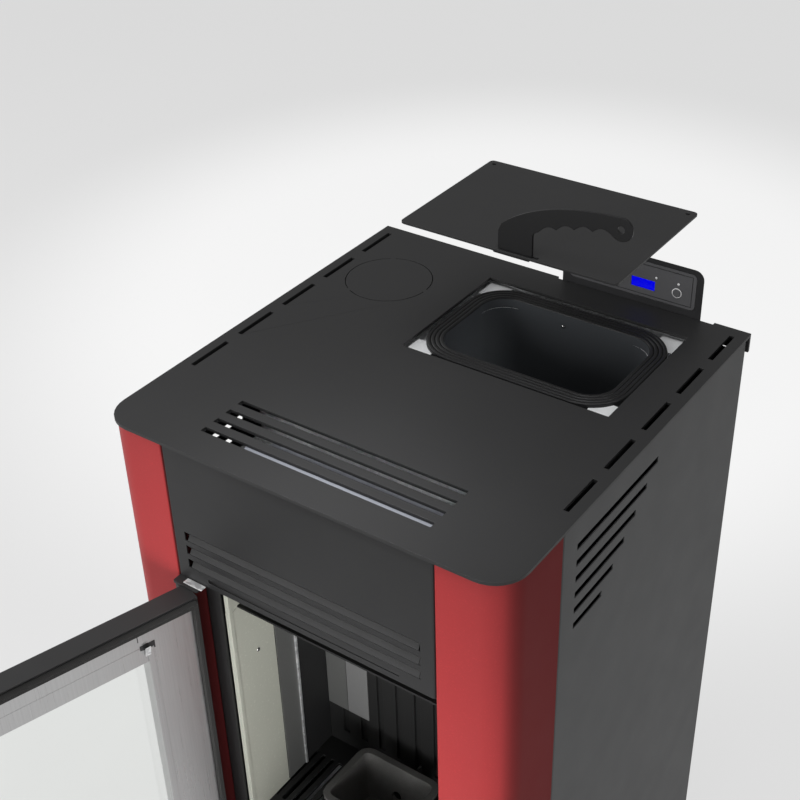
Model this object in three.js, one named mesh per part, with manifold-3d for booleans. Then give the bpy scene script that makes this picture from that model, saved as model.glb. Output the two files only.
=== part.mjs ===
// Pellet stove, drawn in millimetres with +Z up.
// X runs to the right seen from the front, Y runs to the back, Z is the height over the floor.
// The fire door is drawn closed and then turned open about its hinge, and the hopper lid is drawn
// in its opening and then lifted, because that is how the stove stands at rest.

import * as THREE from "three";
import { mergeVertices } from "three/addons/utils/BufferGeometryUtils.js";
import Module from "manifold-3d";

const wasm = await Module();
wasm.setup();

// ---------------------------------------------------------------- driving dimensions

const seatGap = 0.3; // left between pieces that touch
const stoveHeight = 960; // floor to the upper face of the top plate
const footHeight = 22; // floor to the underside of the base tray

// casing
const columnFrontY = 4.5; // front faces stand back from the edge of the top plate
const casingHalfWidth = 258;
const casingBackGap = 6; // casing's back face to the back edge of the top plate
const doorwayHalfWidth = 175; // inner faces of the red columns
const columnDepth = 105;
const columnThickness = 2;
const columnCornerRadius = 34;
const columnFoldRadius = 3;
const columnReturnDepth = 37;
const panelThickness = 1.5;
const panelFoldWidth = 15;
const panelFoldRadius = 3;
const sidePanelTopGap = 2.4;

// top plate
const plateHalfWidth = 260;
const plateDepth = 538;
const casingBackY = plateDepth - casingBackGap;
const plateThickness = 4;
const plateFrontRadius = 38;
const plateBackFlange = 20;
const plateBackFlangeThickness = 3.6;
const edgeSlotLength = 60;
const edgeSlotWidth = 6;
const edgeSlotPitch = 82;
const edgeSlotFirstY = 163;
const edgeSlotCount = 5;
const edgeSlotX = 244;
const grilleSlotHalfLength = 148;
const grilleSlotWidth = 8;
const grilleSlotPitch = 20;
const grilleFirstY = 44;
const grilleSlotCount = 4;
const knockoutX = -172;
const knockoutY = 418;
const knockoutRadius = 55;
const knockoutSlotWidth = 1;
const knockoutBridgeAngle = 0.12;
const knockoutBridgeCount = 3;
const notchLeftX = 4;
const notchRightX = 214;
const notchDepth = 4.5;

// hopper mouth, seal and lid
const mouthLeftX = -67;
const mouthRightX = 202;
const mouthFrontY = 298;
const mouthBackY = 490;
const lidGap = 1;
const lidThickness = 3;
const lidCornerRadius = 5;
const lidLift = 160;
const lidHoleRadius = 2.5;
const lidHoleInset = 9;
const sealWidth = 254;
const sealDepth = 176;
const sealCornerRadius = 50;
const sealBand = 16;
const sealRidgeCount = 4;
const sealRidgeDepth = 2.4;
const sealGrooveShare = 0.4;
const flangeDrop = 17; // top plate's upper face to the hopper flange
const flangeMargin = 13;
const hopperWall = 1.5;
const hopperStraightDepth = 250;
const hopperOutletWidth = 52;
const hopperOutletDepth = 76;
const hopperOutletY = 395;
const hopperOutletRadius = 8;
const hopperConeDepth = 155;
const hopperSpoutLength = 80;

// lid lifting tool
const toolThickness = 3;
const toolY = 302;
const toolFootX = 58.7;
const toolFootWidth = 41.3;
const toolFootHeight = 21;
const toolShoulder = 3.3;
const toolHookLength = 10;
const toolHookDepth = 3;
const toolEndX = 200;
const toolEndHeight = 59;
const toolEndRadius = 13;
const toolHoleRadius = 4;
const toolTopHeight = 71;
const toolScallopCount = 4;
const toolScallopDepth = 4.5;

// louvre panel over the door
const louvreCount = 3;
const louvrePitch = 19.2;
const louvreTopDrop = 118; // top plate's upper face to the first louvre
const louvreHalfLength = 157.5;
const louvreSlotHeight = 13;
const louvreBladeLength = 16;
const louvreBladeAngle = 0.6;
const lowerVentHalfLength = 130;
const lowerVentHeight = 5;

// side vents
const sideVentFirstDrop = 41;
const sideVentPitch = 21;
const sideVentHeight = 8;
const sideVentFrontY = 134.5;
const sideVentFirstBackY = 310;
const sideVentStep = 23;
const sideVentCount = 6;

// door
const doorHalfWidth = 172;
const doorFrontY = 6;
const doorThickness = 28;
const doorTopDrop = 191.8; // top plate's upper face to the door's upper edge
const doorTop = stoveHeight - doorTopDrop;
const doorHeight = 515;
const doorBottom = doorTop - doorHeight;
const louvrePanelBottom = doorTop + 3.8;
const doorWall = 3;
const doorOpenAngle = THREE.MathUtils.degToRad(-107.5);
const hingeX = -169.9;
const hingeY = -1.7;
const hingePinRadius = 3;
const hingeLugRadius = 5;
const hingeLugHeight = 14;
const hingeGap = 0.4;
const hingePlateThickness = 3;
const hingePlateWidth = 36;
const ropeWidth = 5.5;
const ropeDepth = 16;
const ropeProud = 7.7;
const windowHalfWidth = 104.3;
const windowTopDrop = 33;
const windowHeight = 390;
const glassThickness = 4;
const glassMargin = 13;
const innerPlateThickness = 1.5;

// door handle
const handleX = 141;
const handleZ = doorTop - 263.2;
const spindleRadius = 5;
const spindleClearance = 0.5;
const gripLength = 110;
const gripRadius = 9;
const gripStandOff = 36;
const camLength = 26;
const camWidth = 14;
const camThickness = 3;

// fire box
const frameY = 42;
const frameThickness = 3;
const openingHalfWidth = 155.5;
const openingTop = doorTop - 42.2;
const fireboxHalfWidth = 172;
const fireboxWall = 3;
const fireboxBackY = 234;
const fireboxBottom = doorBottom + 8.8;
const shelfHeight = fireboxBottom + 68;
const shelfThickness = 4;
const linerX = 150;
const linerThickness = 4;
const linerTop = openingTop - 36;
const linerSplitY = 122;
const linerLugY = 150;
const linerLugSize = 12;
const linerBackY = 214;
const linerBackThickness = 14;
const fluteCount = 9;
const fluteWidth = 10;
const fluteDepth = 4;
const tubeCount = 5;
const tubeRadius = 14;
const tubeWall = 1.5;
const tubePitch = 58;
const tubeDoorGap = 6; // the tubes blow out over the closed door
const tubeHeight = doorTop + tubeRadius + tubeDoorGap;
const headerHalfHeight = 24;
const fireboxTop = tubeHeight + headerHalfHeight + 8;
const baffleFrontY = 62;
const baffleBendY = 160;
const baffleRise = 26;

// burn pot and ash drawer
const potY = 130;
const potWidth = 116;
const potDepth = 92;
const potHeight = 66;
const potTaper = 14;
const potWall = 4;
const potRim = 5;
const potHoleRadius = 3.5;
const drawerHalfWidth = 124;
const drawerFrontY = 50;
const drawerDepth = 158;
const drawerShelfGap = 12.7; // drawer's rim to the shelf over it
const drawerWall = 2;

// feed
const augerHighY = fireboxBackY + 28;
const augerHighZ = shelfHeight + 310;
const augerRun = 178;
const augerRise = 200;
const augerLowY = augerHighY + augerRun;
const augerLowZ = augerHighZ - augerRise;
const augerTubeRadius = 30;
const augerTubeWall = 2;
const screwRadius = 25;
const screwShaftRadius = 8;
const screwPitch = 42;
const screwBladeThickness = 3;
const chuteWidth = 52;
const chuteWall = 2;

// fans and flue
const blowerY = 290;
const blowerZ = 112;
const blowerLeftX = -10;
const blowerLength = 180;
const blowerRadius = 30;
const bladeCount = 14;
const exhaustY = 400;
const exhaustZ = 150;
const scrollLeftX = -185;
const scrollWidth = 80;
const scrollRadius = 86;
const scrollTaper = 20;
const scrollWall = 3;
const wheelRadius = 52;
const wheelBladeCount = 8;
const flueRadius = 40;
const flueWall = 1.5;
const flueProud = 52;
const intakeRadius = 25;
const intakeX = 95;
const intakeZ = fireboxBottom + 44;

// control panel
const consoleLeftX = 11.5;
const consoleWidth = 186;
const consoleRise = 63.5;
const consoleDrop = 70;
const consoleDepth = 26;
const consoleRadius = 12;
const fasciaMargin = 9;
const fasciaThickness = 1.2;
const displayX = 120.3;
const displayDrop = 36.7;
const displayWidth = 30.5;
const displayHeight = 12.4;
const buttonInset = 32.8;
const buttonRadius = 5.5;
const buttonGap = 0.3;
const buttonTravel = 0.8;

// ---------------------------------------------------------------- helpers

const arcPoints = (cx, cy, radius, from, to, steps) => {
  const points = [];
  for (let i = 0; i <= steps; i += 1) {
    const angle = from + ((to - from) * i) / steps;
    points.push(new THREE.Vector2(cx + radius * Math.cos(angle), cy + radius * Math.sin(angle)));
  }
  return points;
};

const circlePoints = (cx, cy, radius, steps) => arcPoints(cx, cy, radius, 0, 2 * Math.PI, steps).slice(0, -1);

const rectPoints = (x0, y0, x1, y1) => [
  new THREE.Vector2(x0, y0),
  new THREE.Vector2(x1, y0),
  new THREE.Vector2(x1, y1),
  new THREE.Vector2(x0, y1),
];

const roundRectPoints = (x0, y0, x1, y1, radius, steps) => [
  ...arcPoints(x1 - radius, y0 + radius, radius, -Math.PI / 2, 0, steps),
  ...arcPoints(x1 - radius, y1 - radius, radius, 0, Math.PI / 2, steps),
  ...arcPoints(x0 + radius, y1 - radius, radius, Math.PI / 2, Math.PI, steps),
  ...arcPoints(x0 + radius, y0 + radius, radius, Math.PI, 1.5 * Math.PI, steps),
];

const centredRoundRect = (cx, cy, width, depth, radius, steps) =>
  roundRectPoints(cx - width / 2, cy - depth / 2, cx + width / 2, cy + depth / 2, radius, steps);

// Outline of a bent sheet. Corners are [x, y, bend radius] on one face; the other face lies to the left.
const foldedOutline = (corners, thickness, steps) => {
  const near = [];
  const far = [];
  const push = (point, angle) => {
    const left = new THREE.Vector2(-Math.sin(angle), Math.cos(angle));
    near.push(point);
    far.unshift(point.clone().addScaledVector(left, thickness));
  };
  const at = (i) => new THREE.Vector2(corners[i][0], corners[i][1]);
  const heading = (i) => at(i + 1).sub(at(i)).angle();
  push(at(0), heading(0));
  for (let i = 1; i < corners.length - 1; i += 1) {
    const before = heading(i - 1);
    let turn = heading(i) - before;
    if (turn > Math.PI) turn -= 2 * Math.PI;
    if (turn < -Math.PI) turn += 2 * Math.PI;
    const side = Math.sign(turn);
    const radius = corners[i][2];
    const run = radius * Math.tan(Math.abs(turn) / 2);
    const start = at(i).addScaledVector(new THREE.Vector2(Math.cos(before), Math.sin(before)), -run);
    const toCentre = new THREE.Vector2(-Math.sin(before), Math.cos(before)).multiplyScalar(side * radius);
    const centre = start.clone().add(toCentre);
    for (let k = 0; k <= steps; k += 1) {
      const angle = before + (turn * k) / steps;
      const back = new THREE.Vector2(Math.sin(angle), -Math.cos(angle)).multiplyScalar(side * radius);
      push(centre.clone().add(back), angle);
    }
  }
  push(at(corners.length - 1), heading(corners.length - 2));
  return [...near, ...far];
};

const toSolid = (geometry) => {
  const bare = geometry.clone();
  bare.deleteAttribute("normal");
  bare.deleteAttribute("uv");
  const merged = mergeVertices(bare, 1e-4);
  const mesh = new wasm.Mesh({
    numProp: 3,
    vertProperties: Float32Array.from(merged.attributes.position.array),
    triVerts: Uint32Array.from(merged.index.array),
  });
  return new wasm.Manifold(mesh);
};

const toGeometry = (solid) => {
  const mesh = solid.getMesh();
  const geometry = new THREE.BufferGeometry();
  geometry.setAttribute("position", new THREE.BufferAttribute(Float32Array.from(mesh.vertProperties), 3));
  geometry.setIndex(new THREE.BufferAttribute(Uint32Array.from(mesh.triVerts), 1));
  geometry.computeVertexNormals();
  return geometry;
};

const join = (first, ...others) => others.reduce((sum, other) => sum.add(other), first);
const cut = (first, ...others) => others.reduce((rest, other) => rest.subtract(other), first);

const xAxis = new THREE.Vector3(1, 0, 0);
const yAxis = new THREE.Vector3(0, 1, 0);
const zAxis = new THREE.Vector3(0, 0, 1);

// An outline filled between two levels along the third axis of the basis, with its holes cut through.
const prism = (points, holes, from, to, basis) => {
  const slab = (outline, low, high) => {
    const geometry = new THREE.ExtrudeGeometry(new THREE.Shape(outline), { depth: high - low, bevelEnabled: false });
    return toSolid(geometry.translate(0, 0, low).applyMatrix4(basis));
  };
  return cut(slab(points, from, to), ...holes.map((hole) => slab(hole, from - 1, to + 1)));
};
const upright = new THREE.Matrix4();
const frontal = new THREE.Matrix4().makeBasis(xAxis, zAxis, yAxis.clone().negate());
const lateral = new THREE.Matrix4().makeBasis(yAxis, zAxis, xAxis);

// An outline in X and Y, filled between two heights.
const standing = (points, z0, z1, holes = []) => prism(points, holes, z0, z1, upright);

// An outline in X and Z, filled between two depths.
const facing = (points, y0, y1, holes = []) => prism(points, holes, -y1, -y0, frontal);

// An outline in Y and Z, filled between two widths.
const sideways = (points, x0, x1, holes = []) => prism(points, holes, x0, x1, lateral);

const block = (x0, x1, y0, y1, z0, z1) => standing(rectPoints(x0, y0, x1, y1), z0, z1);

const rodX = (y, z, radius, x0, x1, steps = 20) => sideways(circlePoints(y, z, radius, steps), x0, x1);
const rodY = (x, z, radius, y0, y1, steps = 20) => facing(circlePoints(x, z, radius, steps), y0, y1);
const rodZ = (x, y, radius, z0, z1, steps = 20) => standing(circlePoints(x, y, radius, steps), z0, z1);

// A closed skin through rings of equally many points, with flat ends or closed on itself.
const loft = (rings, closed) => {
  const count = rings[0].length;
  const positions = rings.flat().flatMap((point) => [point.x, point.y, point.z]);
  const index = [];
  const links = closed ? rings.length : rings.length - 1;
  for (let r = 0; r < links; r += 1) {
    const low = r * count;
    const high = ((r + 1) % rings.length) * count;
    for (let i = 0; i < count; i += 1) {
      const next = (i + 1) % count;
      index.push(low + i, low + next, high + next);
      index.push(low + i, high + next, high + i);
    }
  }
  if (!closed) {
    const last = (rings.length - 1) * count;
    for (let i = 1; i < count - 1; i += 1) {
      index.push(0, i + 1, i);
      index.push(last, last + i, last + i + 1);
    }
  }
  const geometry = new THREE.BufferGeometry();
  geometry.setAttribute("position", new THREE.Float32BufferAttribute(positions, 3));
  geometry.setIndex(index);
  return geometry;
};

const level = (points, z) => points.map((point) => new THREE.Vector3(point.x, point.y, z));

const finish = {
  darkPlate: { color: 0x3c3d3f, roughness: 0.55, metalness: 0.3 },
  redColumn: { color: 0xa54141, roughness: 0.5, metalness: 0.1 },
  sidePanel: { color: 0x4c4e50, roughness: 0.6, metalness: 0.2 },
  blackSteel: { color: 0x1c1c1d, roughness: 0.6, metalness: 0.4 },
  stainless: { color: 0x9a9a9a, roughness: 0.3, metalness: 1 },
  zinc: { color: 0xc9cccf, roughness: 0.4, metalness: 0.9 },
  castIron: { color: 0x2b2b2b, roughness: 0.8, metalness: 0.5 },
  lining: { color: 0x96988c, roughness: 0.7, metalness: 0.2 },
  rubber: { color: 0x161616, roughness: 0.8, metalness: 0 },
  glass: { color: 0xd8dcd8, roughness: 0.05, metalness: 0 },
  hopperGrey: { color: 0x33373b, roughness: 0.35, metalness: 0.4 },
  plastic: { color: 0x2a2b2d, roughness: 0.5, metalness: 0 },
  display: { color: 0x0000e6, roughness: 0.2, metalness: 0 },
  motor: { color: 0x55585c, roughness: 0.5, metalness: 0.7 },
};

const stove = new THREE.Group();
const addTo = (parent, name, geometry, look) => {
  const mesh = new THREE.Mesh(geometry, new THREE.MeshStandardMaterial(look));
  mesh.name = name;
  parent.add(mesh);
  return mesh;
};
const add = (name, solid, look) => addTo(stove, name, toGeometry(solid), look);

const mirrorX = (solid) => {
  const geometry = toGeometry(solid);
  const mirrored = geometry.index.array.slice();
  for (let i = 0; i < mirrored.length; i += 3) {
    [mirrored[i], mirrored[i + 1]] = [mirrored[i + 1], mirrored[i]];
  }
  geometry.applyMatrix4(new THREE.Matrix4().makeScale(-1, 1, 1));
  geometry.setIndex(new THREE.BufferAttribute(mirrored, 1));
  return toSolid(geometry);
};

const plateUnder = stoveHeight - plateThickness;
const trayFloor = footHeight + 2;
const trayRim = 18;

// ---------------------------------------------------------------- top plate

const mouthCentreX = (mouthLeftX + mouthRightX) / 2;
const mouthCentreY = (mouthFrontY + mouthBackY) / 2;

const slotRow = (count, make) => Array.from({ length: count }, (_, i) => make(i));

const edgeSlots = [-edgeSlotX, edgeSlotX].flatMap((x) =>
  slotRow(edgeSlotCount, (i) => {
    const y = edgeSlotFirstY + i * edgeSlotPitch;
    return rectPoints(x - edgeSlotWidth / 2, y - edgeSlotLength / 2, x + edgeSlotWidth / 2, y + edgeSlotLength / 2);
  }),
);

const grilleSlots = slotRow(grilleSlotCount, (i) => {
  const y = grilleFirstY + i * grilleSlotPitch;
  return rectPoints(-grilleSlotHalfLength, y - grilleSlotWidth / 2, grilleSlotHalfLength, y + grilleSlotWidth / 2);
});

// The knock-out stays joined to the plate by narrow bridges between its ring slots.
const knockoutSlots = slotRow(knockoutBridgeCount, (i) => {
  const sweep = (2 * Math.PI) / knockoutBridgeCount;
  const from = i * sweep + knockoutBridgeAngle / 2;
  const to = (i + 1) * sweep - knockoutBridgeAngle / 2;
  const outer = knockoutRadius + knockoutSlotWidth / 2;
  const inner = knockoutRadius - knockoutSlotWidth / 2;
  return [
    ...arcPoints(knockoutX, knockoutY, outer, from, to, 12),
    ...arcPoints(knockoutX, knockoutY, inner, to, from, 12),
  ];
});

const plateOutline = [
  ...arcPoints(-plateHalfWidth + plateFrontRadius, plateFrontRadius, plateFrontRadius, Math.PI, 1.5 * Math.PI, 8),
  ...arcPoints(plateHalfWidth - plateFrontRadius, plateFrontRadius, plateFrontRadius, 1.5 * Math.PI, 2 * Math.PI, 8),
  new THREE.Vector2(plateHalfWidth, plateDepth),
  new THREE.Vector2(notchRightX, plateDepth),
  new THREE.Vector2(notchRightX, plateDepth - notchDepth),
  new THREE.Vector2(notchLeftX, plateDepth - notchDepth),
  new THREE.Vector2(notchLeftX, plateDepth),
  new THREE.Vector2(-plateHalfWidth, plateDepth),
];
const plateHoles = [
  ...edgeSlots,
  ...grilleSlots,
  ...knockoutSlots,
  rectPoints(mouthLeftX, mouthFrontY, mouthRightX, mouthBackY),
];
const flangeFrontY = plateDepth - plateBackFlangeThickness;
const flangeBottom = plateUnder - plateBackFlange;
add(
  "top_plate",
  join(
    standing(plateOutline, plateUnder, stoveHeight, plateHoles),
    block(-plateHalfWidth, notchLeftX, flangeFrontY, plateDepth, flangeBottom, plateUnder + 1),
    block(notchRightX, plateHalfWidth, flangeFrontY, plateDepth, flangeBottom, plateUnder + 1),
  ),
  finish.darkPlate,
);

// ---------------------------------------------------------------- casing

const columnTop = plateUnder - seatGap;
const columnProfile = foldedOutline(
  [
    [doorwayHalfWidth, columnFrontY + columnReturnDepth, 0],
    [doorwayHalfWidth, columnFrontY, columnFoldRadius],
    [casingHalfWidth, columnFrontY, columnCornerRadius],
    [casingHalfWidth, columnDepth, 0],
  ],
  columnThickness,
  7,
);
const rightColumn = standing(columnProfile, trayFloor + seatGap, columnTop);
add("right_front_column", rightColumn, finish.redColumn);
add("left_front_column", mirrorX(rightColumn), finish.redColumn);

const sidePanelFrontY = columnDepth + seatGap;
const sidePanelTop = plateUnder - sidePanelTopGap;
const sidePanelProfile = foldedOutline(
  [
    [casingHalfWidth - panelFoldWidth, sidePanelFrontY, 0],
    [casingHalfWidth, sidePanelFrontY, panelFoldRadius],
    [casingHalfWidth, casingBackY, panelFoldRadius],
    [casingHalfWidth - panelFoldWidth, casingBackY, 0],
  ],
  panelThickness,
  3,
);
const sideVents = slotRow(sideVentCount, (i) => {
  const top = stoveHeight - sideVentFirstDrop - i * sideVentPitch + sideVentHeight / 2;
  const backY = sideVentFirstBackY - i * sideVentStep;
  return block(casingHalfWidth - 4, casingHalfWidth + 4, sideVentFrontY, backY, top - sideVentHeight, top);
});
const rightSide = cut(standing(sidePanelProfile, trayFloor + seatGap, sidePanelTop), ...sideVents);
add("right_side_panel", rightSide, finish.sidePanel);
add("left_side_panel", mirrorX(rightSide), finish.sidePanel);

// Each louvre is a slot whose blade hangs from its upper edge and slopes inwards.
const frontPanelHalfWidth = doorwayHalfWidth - seatGap;
const louvreTops = slotRow(louvreCount, (i) => stoveHeight - louvreTopDrop - i * louvrePitch);
const lowerVentTop = stoveHeight - louvreTopDrop - louvreCount * louvrePitch;
const louvreHoles = louvreTops.map((top) =>
  rectPoints(-louvreHalfLength, top - louvreSlotHeight, louvreHalfLength, top),
);
const lowerVent = rectPoints(-lowerVentHalfLength, lowerVentTop - lowerVentHeight, lowerVentHalfLength, lowerVentTop);
const louvreBlades = louvreTops.map((top) => {
  const dy = louvreBladeLength * Math.sin(louvreBladeAngle);
  const dz = louvreBladeLength * Math.cos(louvreBladeAngle);
  const profile = [
    new THREE.Vector2(columnFrontY, top + 1),
    new THREE.Vector2(columnFrontY, top - 0.5),
    new THREE.Vector2(columnFrontY + dy, top - dz),
    new THREE.Vector2(columnFrontY + dy + panelThickness, top - dz),
    new THREE.Vector2(columnFrontY + panelThickness, top + 1),
  ];
  return sideways(profile, -louvreHalfLength, louvreHalfLength);
});
const frontPanelProfile = (halfWidth) =>
  foldedOutline(
    [
      [-halfWidth, columnFrontY + panelFoldWidth, 0],
      [-halfWidth, columnFrontY, panelFoldRadius],
      [halfWidth, columnFrontY, panelFoldRadius],
      [halfWidth, columnFrontY + panelFoldWidth, 0],
    ],
    panelThickness,
    3,
  );
const louvreCutters = [...louvreHoles, lowerVent].map((hole) => facing(hole, columnFrontY - 2, columnFrontY + 2.5));
add(
  "louvre_panel",
  join(
    cut(standing(frontPanelProfile(frontPanelHalfWidth), louvrePanelBottom, columnTop), ...louvreCutters),
    ...louvreBlades,
  ),
  finish.darkPlate,
);

const lowerPanelTop = doorBottom - hingeGap - hingePlateThickness - seatGap;
add(
  "lower_front_panel",
  standing(frontPanelProfile(frontPanelHalfWidth), trayFloor + seatGap, lowerPanelTop),
  finish.darkPlate,
);

const trayHalfWidth = casingHalfWidth - panelThickness - seatGap;
const trayFrontY = columnFrontY + columnThickness + seatGap;
const trayBackY = casingBackY - panelThickness - seatGap;
const trayCorner = columnCornerRadius;
const trayPoints = (inset, radius) => [
  ...arcPoints(-trayHalfWidth + radius, trayFrontY + radius, radius - inset, Math.PI, 1.5 * Math.PI, 6),
  ...arcPoints(trayHalfWidth - radius, trayFrontY + radius, radius - inset, 1.5 * Math.PI, 2 * Math.PI, 6),
  new THREE.Vector2(trayHalfWidth - inset, trayBackY - inset),
  new THREE.Vector2(-trayHalfWidth + inset, trayBackY - inset),
];
// The tray lies under the casing, so its rim stops below the sheets that stand on it.
add("base_tray", standing(trayPoints(0, trayCorner), footHeight, trayFloor), finish.blackSteel);

const footInset = 45;
const footPoints = [
  [0, 0],
  [18, 0],
  [20, 4],
  [14, 9],
  [6, 9],
  [6, footHeight - seatGap],
  [0, footHeight - seatGap],
].map(([r, z]) => new THREE.Vector2(r, z));
const footSolid = () => toSolid(new THREE.LatheGeometry(footPoints, 16).rotateX(Math.PI / 2));
[
  ["foot_front_left", -1, trayFrontY + footInset],
  ["foot_front_right", 1, trayFrontY + footInset],
  ["foot_rear_left", -1, trayBackY - footInset],
  ["foot_rear_right", 1, trayBackY - footInset],
].forEach(([name, side, y]) => {
  add(name, footSolid().translate([side * (trayHalfWidth - footInset), y, 0]), finish.rubber);
});

// ---------------------------------------------------------------- rear panel and its ports

const flueX = scrollLeftX + scrollWidth / 2;
const flueZ = exhaustZ + (scrollRadius + scrollTaper * 0.7) / 2;
const rearFrontY = casingBackY + seatGap;
const rearBackY = rearFrontY + panelThickness;
const rearHalfWidth = casingHalfWidth - 6;
const rearTop = flangeBottom - seatGap;
const inletX = 200;
const inletZ = 120;
const inletWidth = 30;
const inletHeight = 56;
const rearVents = [];
for (let column = 0; column < 3; column += 1) {
  for (let row = 0; row < 6; row += 1) {
    const x = -20 + column * 62;
    const z = 130 + row * 16;
    rearVents.push(rectPoints(x - 24, z, x + 24, z + 6));
  }
}
add(
  "rear_panel",
  facing(rectPoints(-rearHalfWidth, trayFloor + seatGap, rearHalfWidth, rearTop), rearFrontY, rearBackY, [
    circlePoints(flueX, flueZ, flueRadius + 1, 28),
    circlePoints(intakeX, intakeZ, intakeRadius + 1, 24),
    rectPoints(inletX - inletWidth / 2, inletZ - inletHeight / 2, inletX + inletWidth / 2, inletZ + inletHeight / 2),
    ...rearVents,
  ]),
  finish.sidePanel,
);

// ---------------------------------------------------------------- fire box

const tubeXs = slotRow(tubeCount, (i) => (i - (tubeCount - 1) / 2) * tubePitch);
const tubeHoles = (y0, y1) => tubeXs.map((x) => rodY(x, tubeHeight, tubeRadius + seatGap, y0, y1, 16));
const frameBackY = frameY + frameThickness;
const frameTop = fireboxTop + 5;
const openingBottom = fireboxBottom + fireboxWall; // the ash drawer slides out over this edge
add(
  "front_frame",
  cut(
    facing(
      rectPoints(-frontPanelHalfWidth, doorBottom - 30, frontPanelHalfWidth, frameTop),
      frameY,
      frameBackY,
      [rectPoints(-openingHalfWidth, openingBottom, openingHalfWidth, openingTop)],
    ),
    ...tubeHoles(frameY - 1, frameBackY + 1),
  ),
  finish.blackSteel,
);

const augerAxis = new THREE.Vector3(0, augerHighY - augerLowY, augerHighZ - augerLowZ);
const augerLength = augerAxis.length();
augerAxis.normalize();
const augerFrame = new THREE.Matrix4().makeBasis(
  xAxis,
  new THREE.Vector3().crossVectors(augerAxis, xAxis),
  augerAxis,
);
augerFrame.setPosition(0, augerLowY, augerLowZ);
const alongAuger = (solid) => toSolid(toGeometry(solid).applyMatrix4(augerFrame));
const augerRod = (radius, from, to, steps = 20) => alongAuger(rodZ(0, 0, radius, from, to, steps));
const augerUpperHalf = alongAuger(block(-60, 60, 0, 90, -60, 400));
const augerLowerHalf = alongAuger(block(-60, 60, -90, 0, -60, 400));

// The chute slopes from the upper end of the auger tube through the back of the fire box.
const chuteStart = new THREE.Vector2(augerHighY + 28, augerHighZ - 16);
const chuteEnd = new THREE.Vector2(fireboxBackY - 30, augerHighZ - 112);
const chuteSection = (half, extra) => {
  const along = chuteEnd.clone().sub(chuteStart).normalize();
  const across = new THREE.Vector2(-along.y, along.x).multiplyScalar(half);
  const start = chuteStart.clone().addScaledVector(along, -extra);
  const end = chuteEnd.clone().addScaledVector(along, extra);
  return [
    start.clone().add(across),
    start.clone().sub(across),
    end.clone().sub(across),
    end.clone().add(across),
  ];
};
const chuteOuter = sideways(chuteSection(chuteWidth / 2, 0), -chuteWidth / 2, chuteWidth / 2);
const chuteBore = sideways(
  chuteSection(chuteWidth / 2 - chuteWall, 20),
  -chuteWidth / 2 + chuteWall,
  chuteWidth / 2 - chuteWall,
);
const chuteClearance = sideways(
  chuteSection(chuteWidth / 2 + seatGap, 30),
  -chuteWidth / 2 - seatGap,
  chuteWidth / 2 + seatGap,
);

const smokeLeftX = scrollLeftX + scrollWidth + seatGap;
const smokeRightX = -augerTubeRadius - 6;
const smokeBottom = fireboxBottom + 18;
const smokeTop = smokeBottom + 60;
const igniterZ = shelfHeight + shelfThickness + 22;
const igniterRadius = 6;
const fireboxInnerBack = fireboxBackY - fireboxWall;
add(
  "firebox",
  cut(
    block(-fireboxHalfWidth, fireboxHalfWidth, frameBackY + seatGap, fireboxBackY, fireboxBottom, fireboxTop),
    block(
      -fireboxHalfWidth + fireboxWall,
      fireboxHalfWidth - fireboxWall,
      frameBackY - 5,
      fireboxInnerBack,
      fireboxBottom + fireboxWall,
      fireboxTop - fireboxWall,
    ),
    ...tubeHoles(fireboxInnerBack - 2, fireboxBackY + 2),
    chuteClearance,
    block(smokeLeftX + 4, smokeRightX - 4, fireboxInnerBack - 2, fireboxBackY + 2, smokeBottom + 4, smokeTop - 4),
    rodY(0, igniterZ, igniterRadius + seatGap, fireboxInnerBack - 2, fireboxBackY + 2, 16),
    rodY(intakeX, intakeZ, intakeRadius - 2, fireboxInnerBack - 2, fireboxBackY + 2),
  ),
  finish.castIron,
);

const linerBottom = shelfHeight + shelfThickness + seatGap;
const linerFrontY = frameBackY + seatGap + 1;
const latchNotch = block(
  linerX - 2,
  linerX + 30,
  linerFrontY - 3,
  frameBackY + camThickness + 3,
  handleZ - camWidth,
  handleZ + camWidth,
);
const linerSide = sideways(
  [
    new THREE.Vector2(linerFrontY, linerBottom),
    new THREE.Vector2(linerBackY - seatGap, linerBottom),
    new THREE.Vector2(linerBackY - seatGap, linerTop),
    new THREE.Vector2(linerFrontY, linerTop),
  ],
  linerX,
  linerX + linerThickness,
);
// A step marks where the front cheek laps over the rear one.
const linerStep = block(linerX - 1.5, linerX + 1, linerFrontY, linerSplitY, linerBottom, linerTop);
const linerLug = block(
  linerX + linerThickness - 1,
  fireboxHalfWidth - fireboxWall - seatGap,
  linerLugY,
  linerLugY + linerLugSize,
  handleZ - linerLugSize / 2,
  handleZ + linerLugSize / 2,
);
const rightLiner = cut(join(linerSide, linerStep, linerLug), latchNotch);
add("liner_right", rightLiner, finish.lining);
add("liner_left", mirrorX(join(linerSide, linerStep, linerLug)), finish.lining);

const flutes = slotRow(fluteCount, (i) => {
  const x = (i - (fluteCount - 1) / 2) * 30;
  return block(x - fluteWidth / 2, x + fluteWidth / 2, linerBackY - 1, linerBackY + fluteDepth, linerBottom + 25, linerTop - 25);
});
const linerBackEnd = linerBackY + linerBackThickness;
add(
  "liner_back",
  cut(
    block(-fireboxHalfWidth + 5, fireboxHalfWidth - 5, linerBackY, linerBackEnd, linerBottom, linerTop),
    chuteClearance,
    rodY(0, igniterZ, igniterRadius + seatGap, linerBackY - 2, linerBackEnd + 2, 16),
    ...flutes,
  ),
  finish.castIron,
);

add(
  "baffle_plate",
  sideways(
    foldedOutline(
      [
        [baffleFrontY, linerTop + seatGap, 0],
        [baffleBendY, linerTop + seatGap, 12],
        [linerBackY + 2, linerTop + baffleRise, 0],
      ],
      fireboxWall,
      4,
    ),
    -fireboxHalfWidth + 6,
    fireboxHalfWidth - 6,
  ),
  finish.blackSteel,
);

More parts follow.
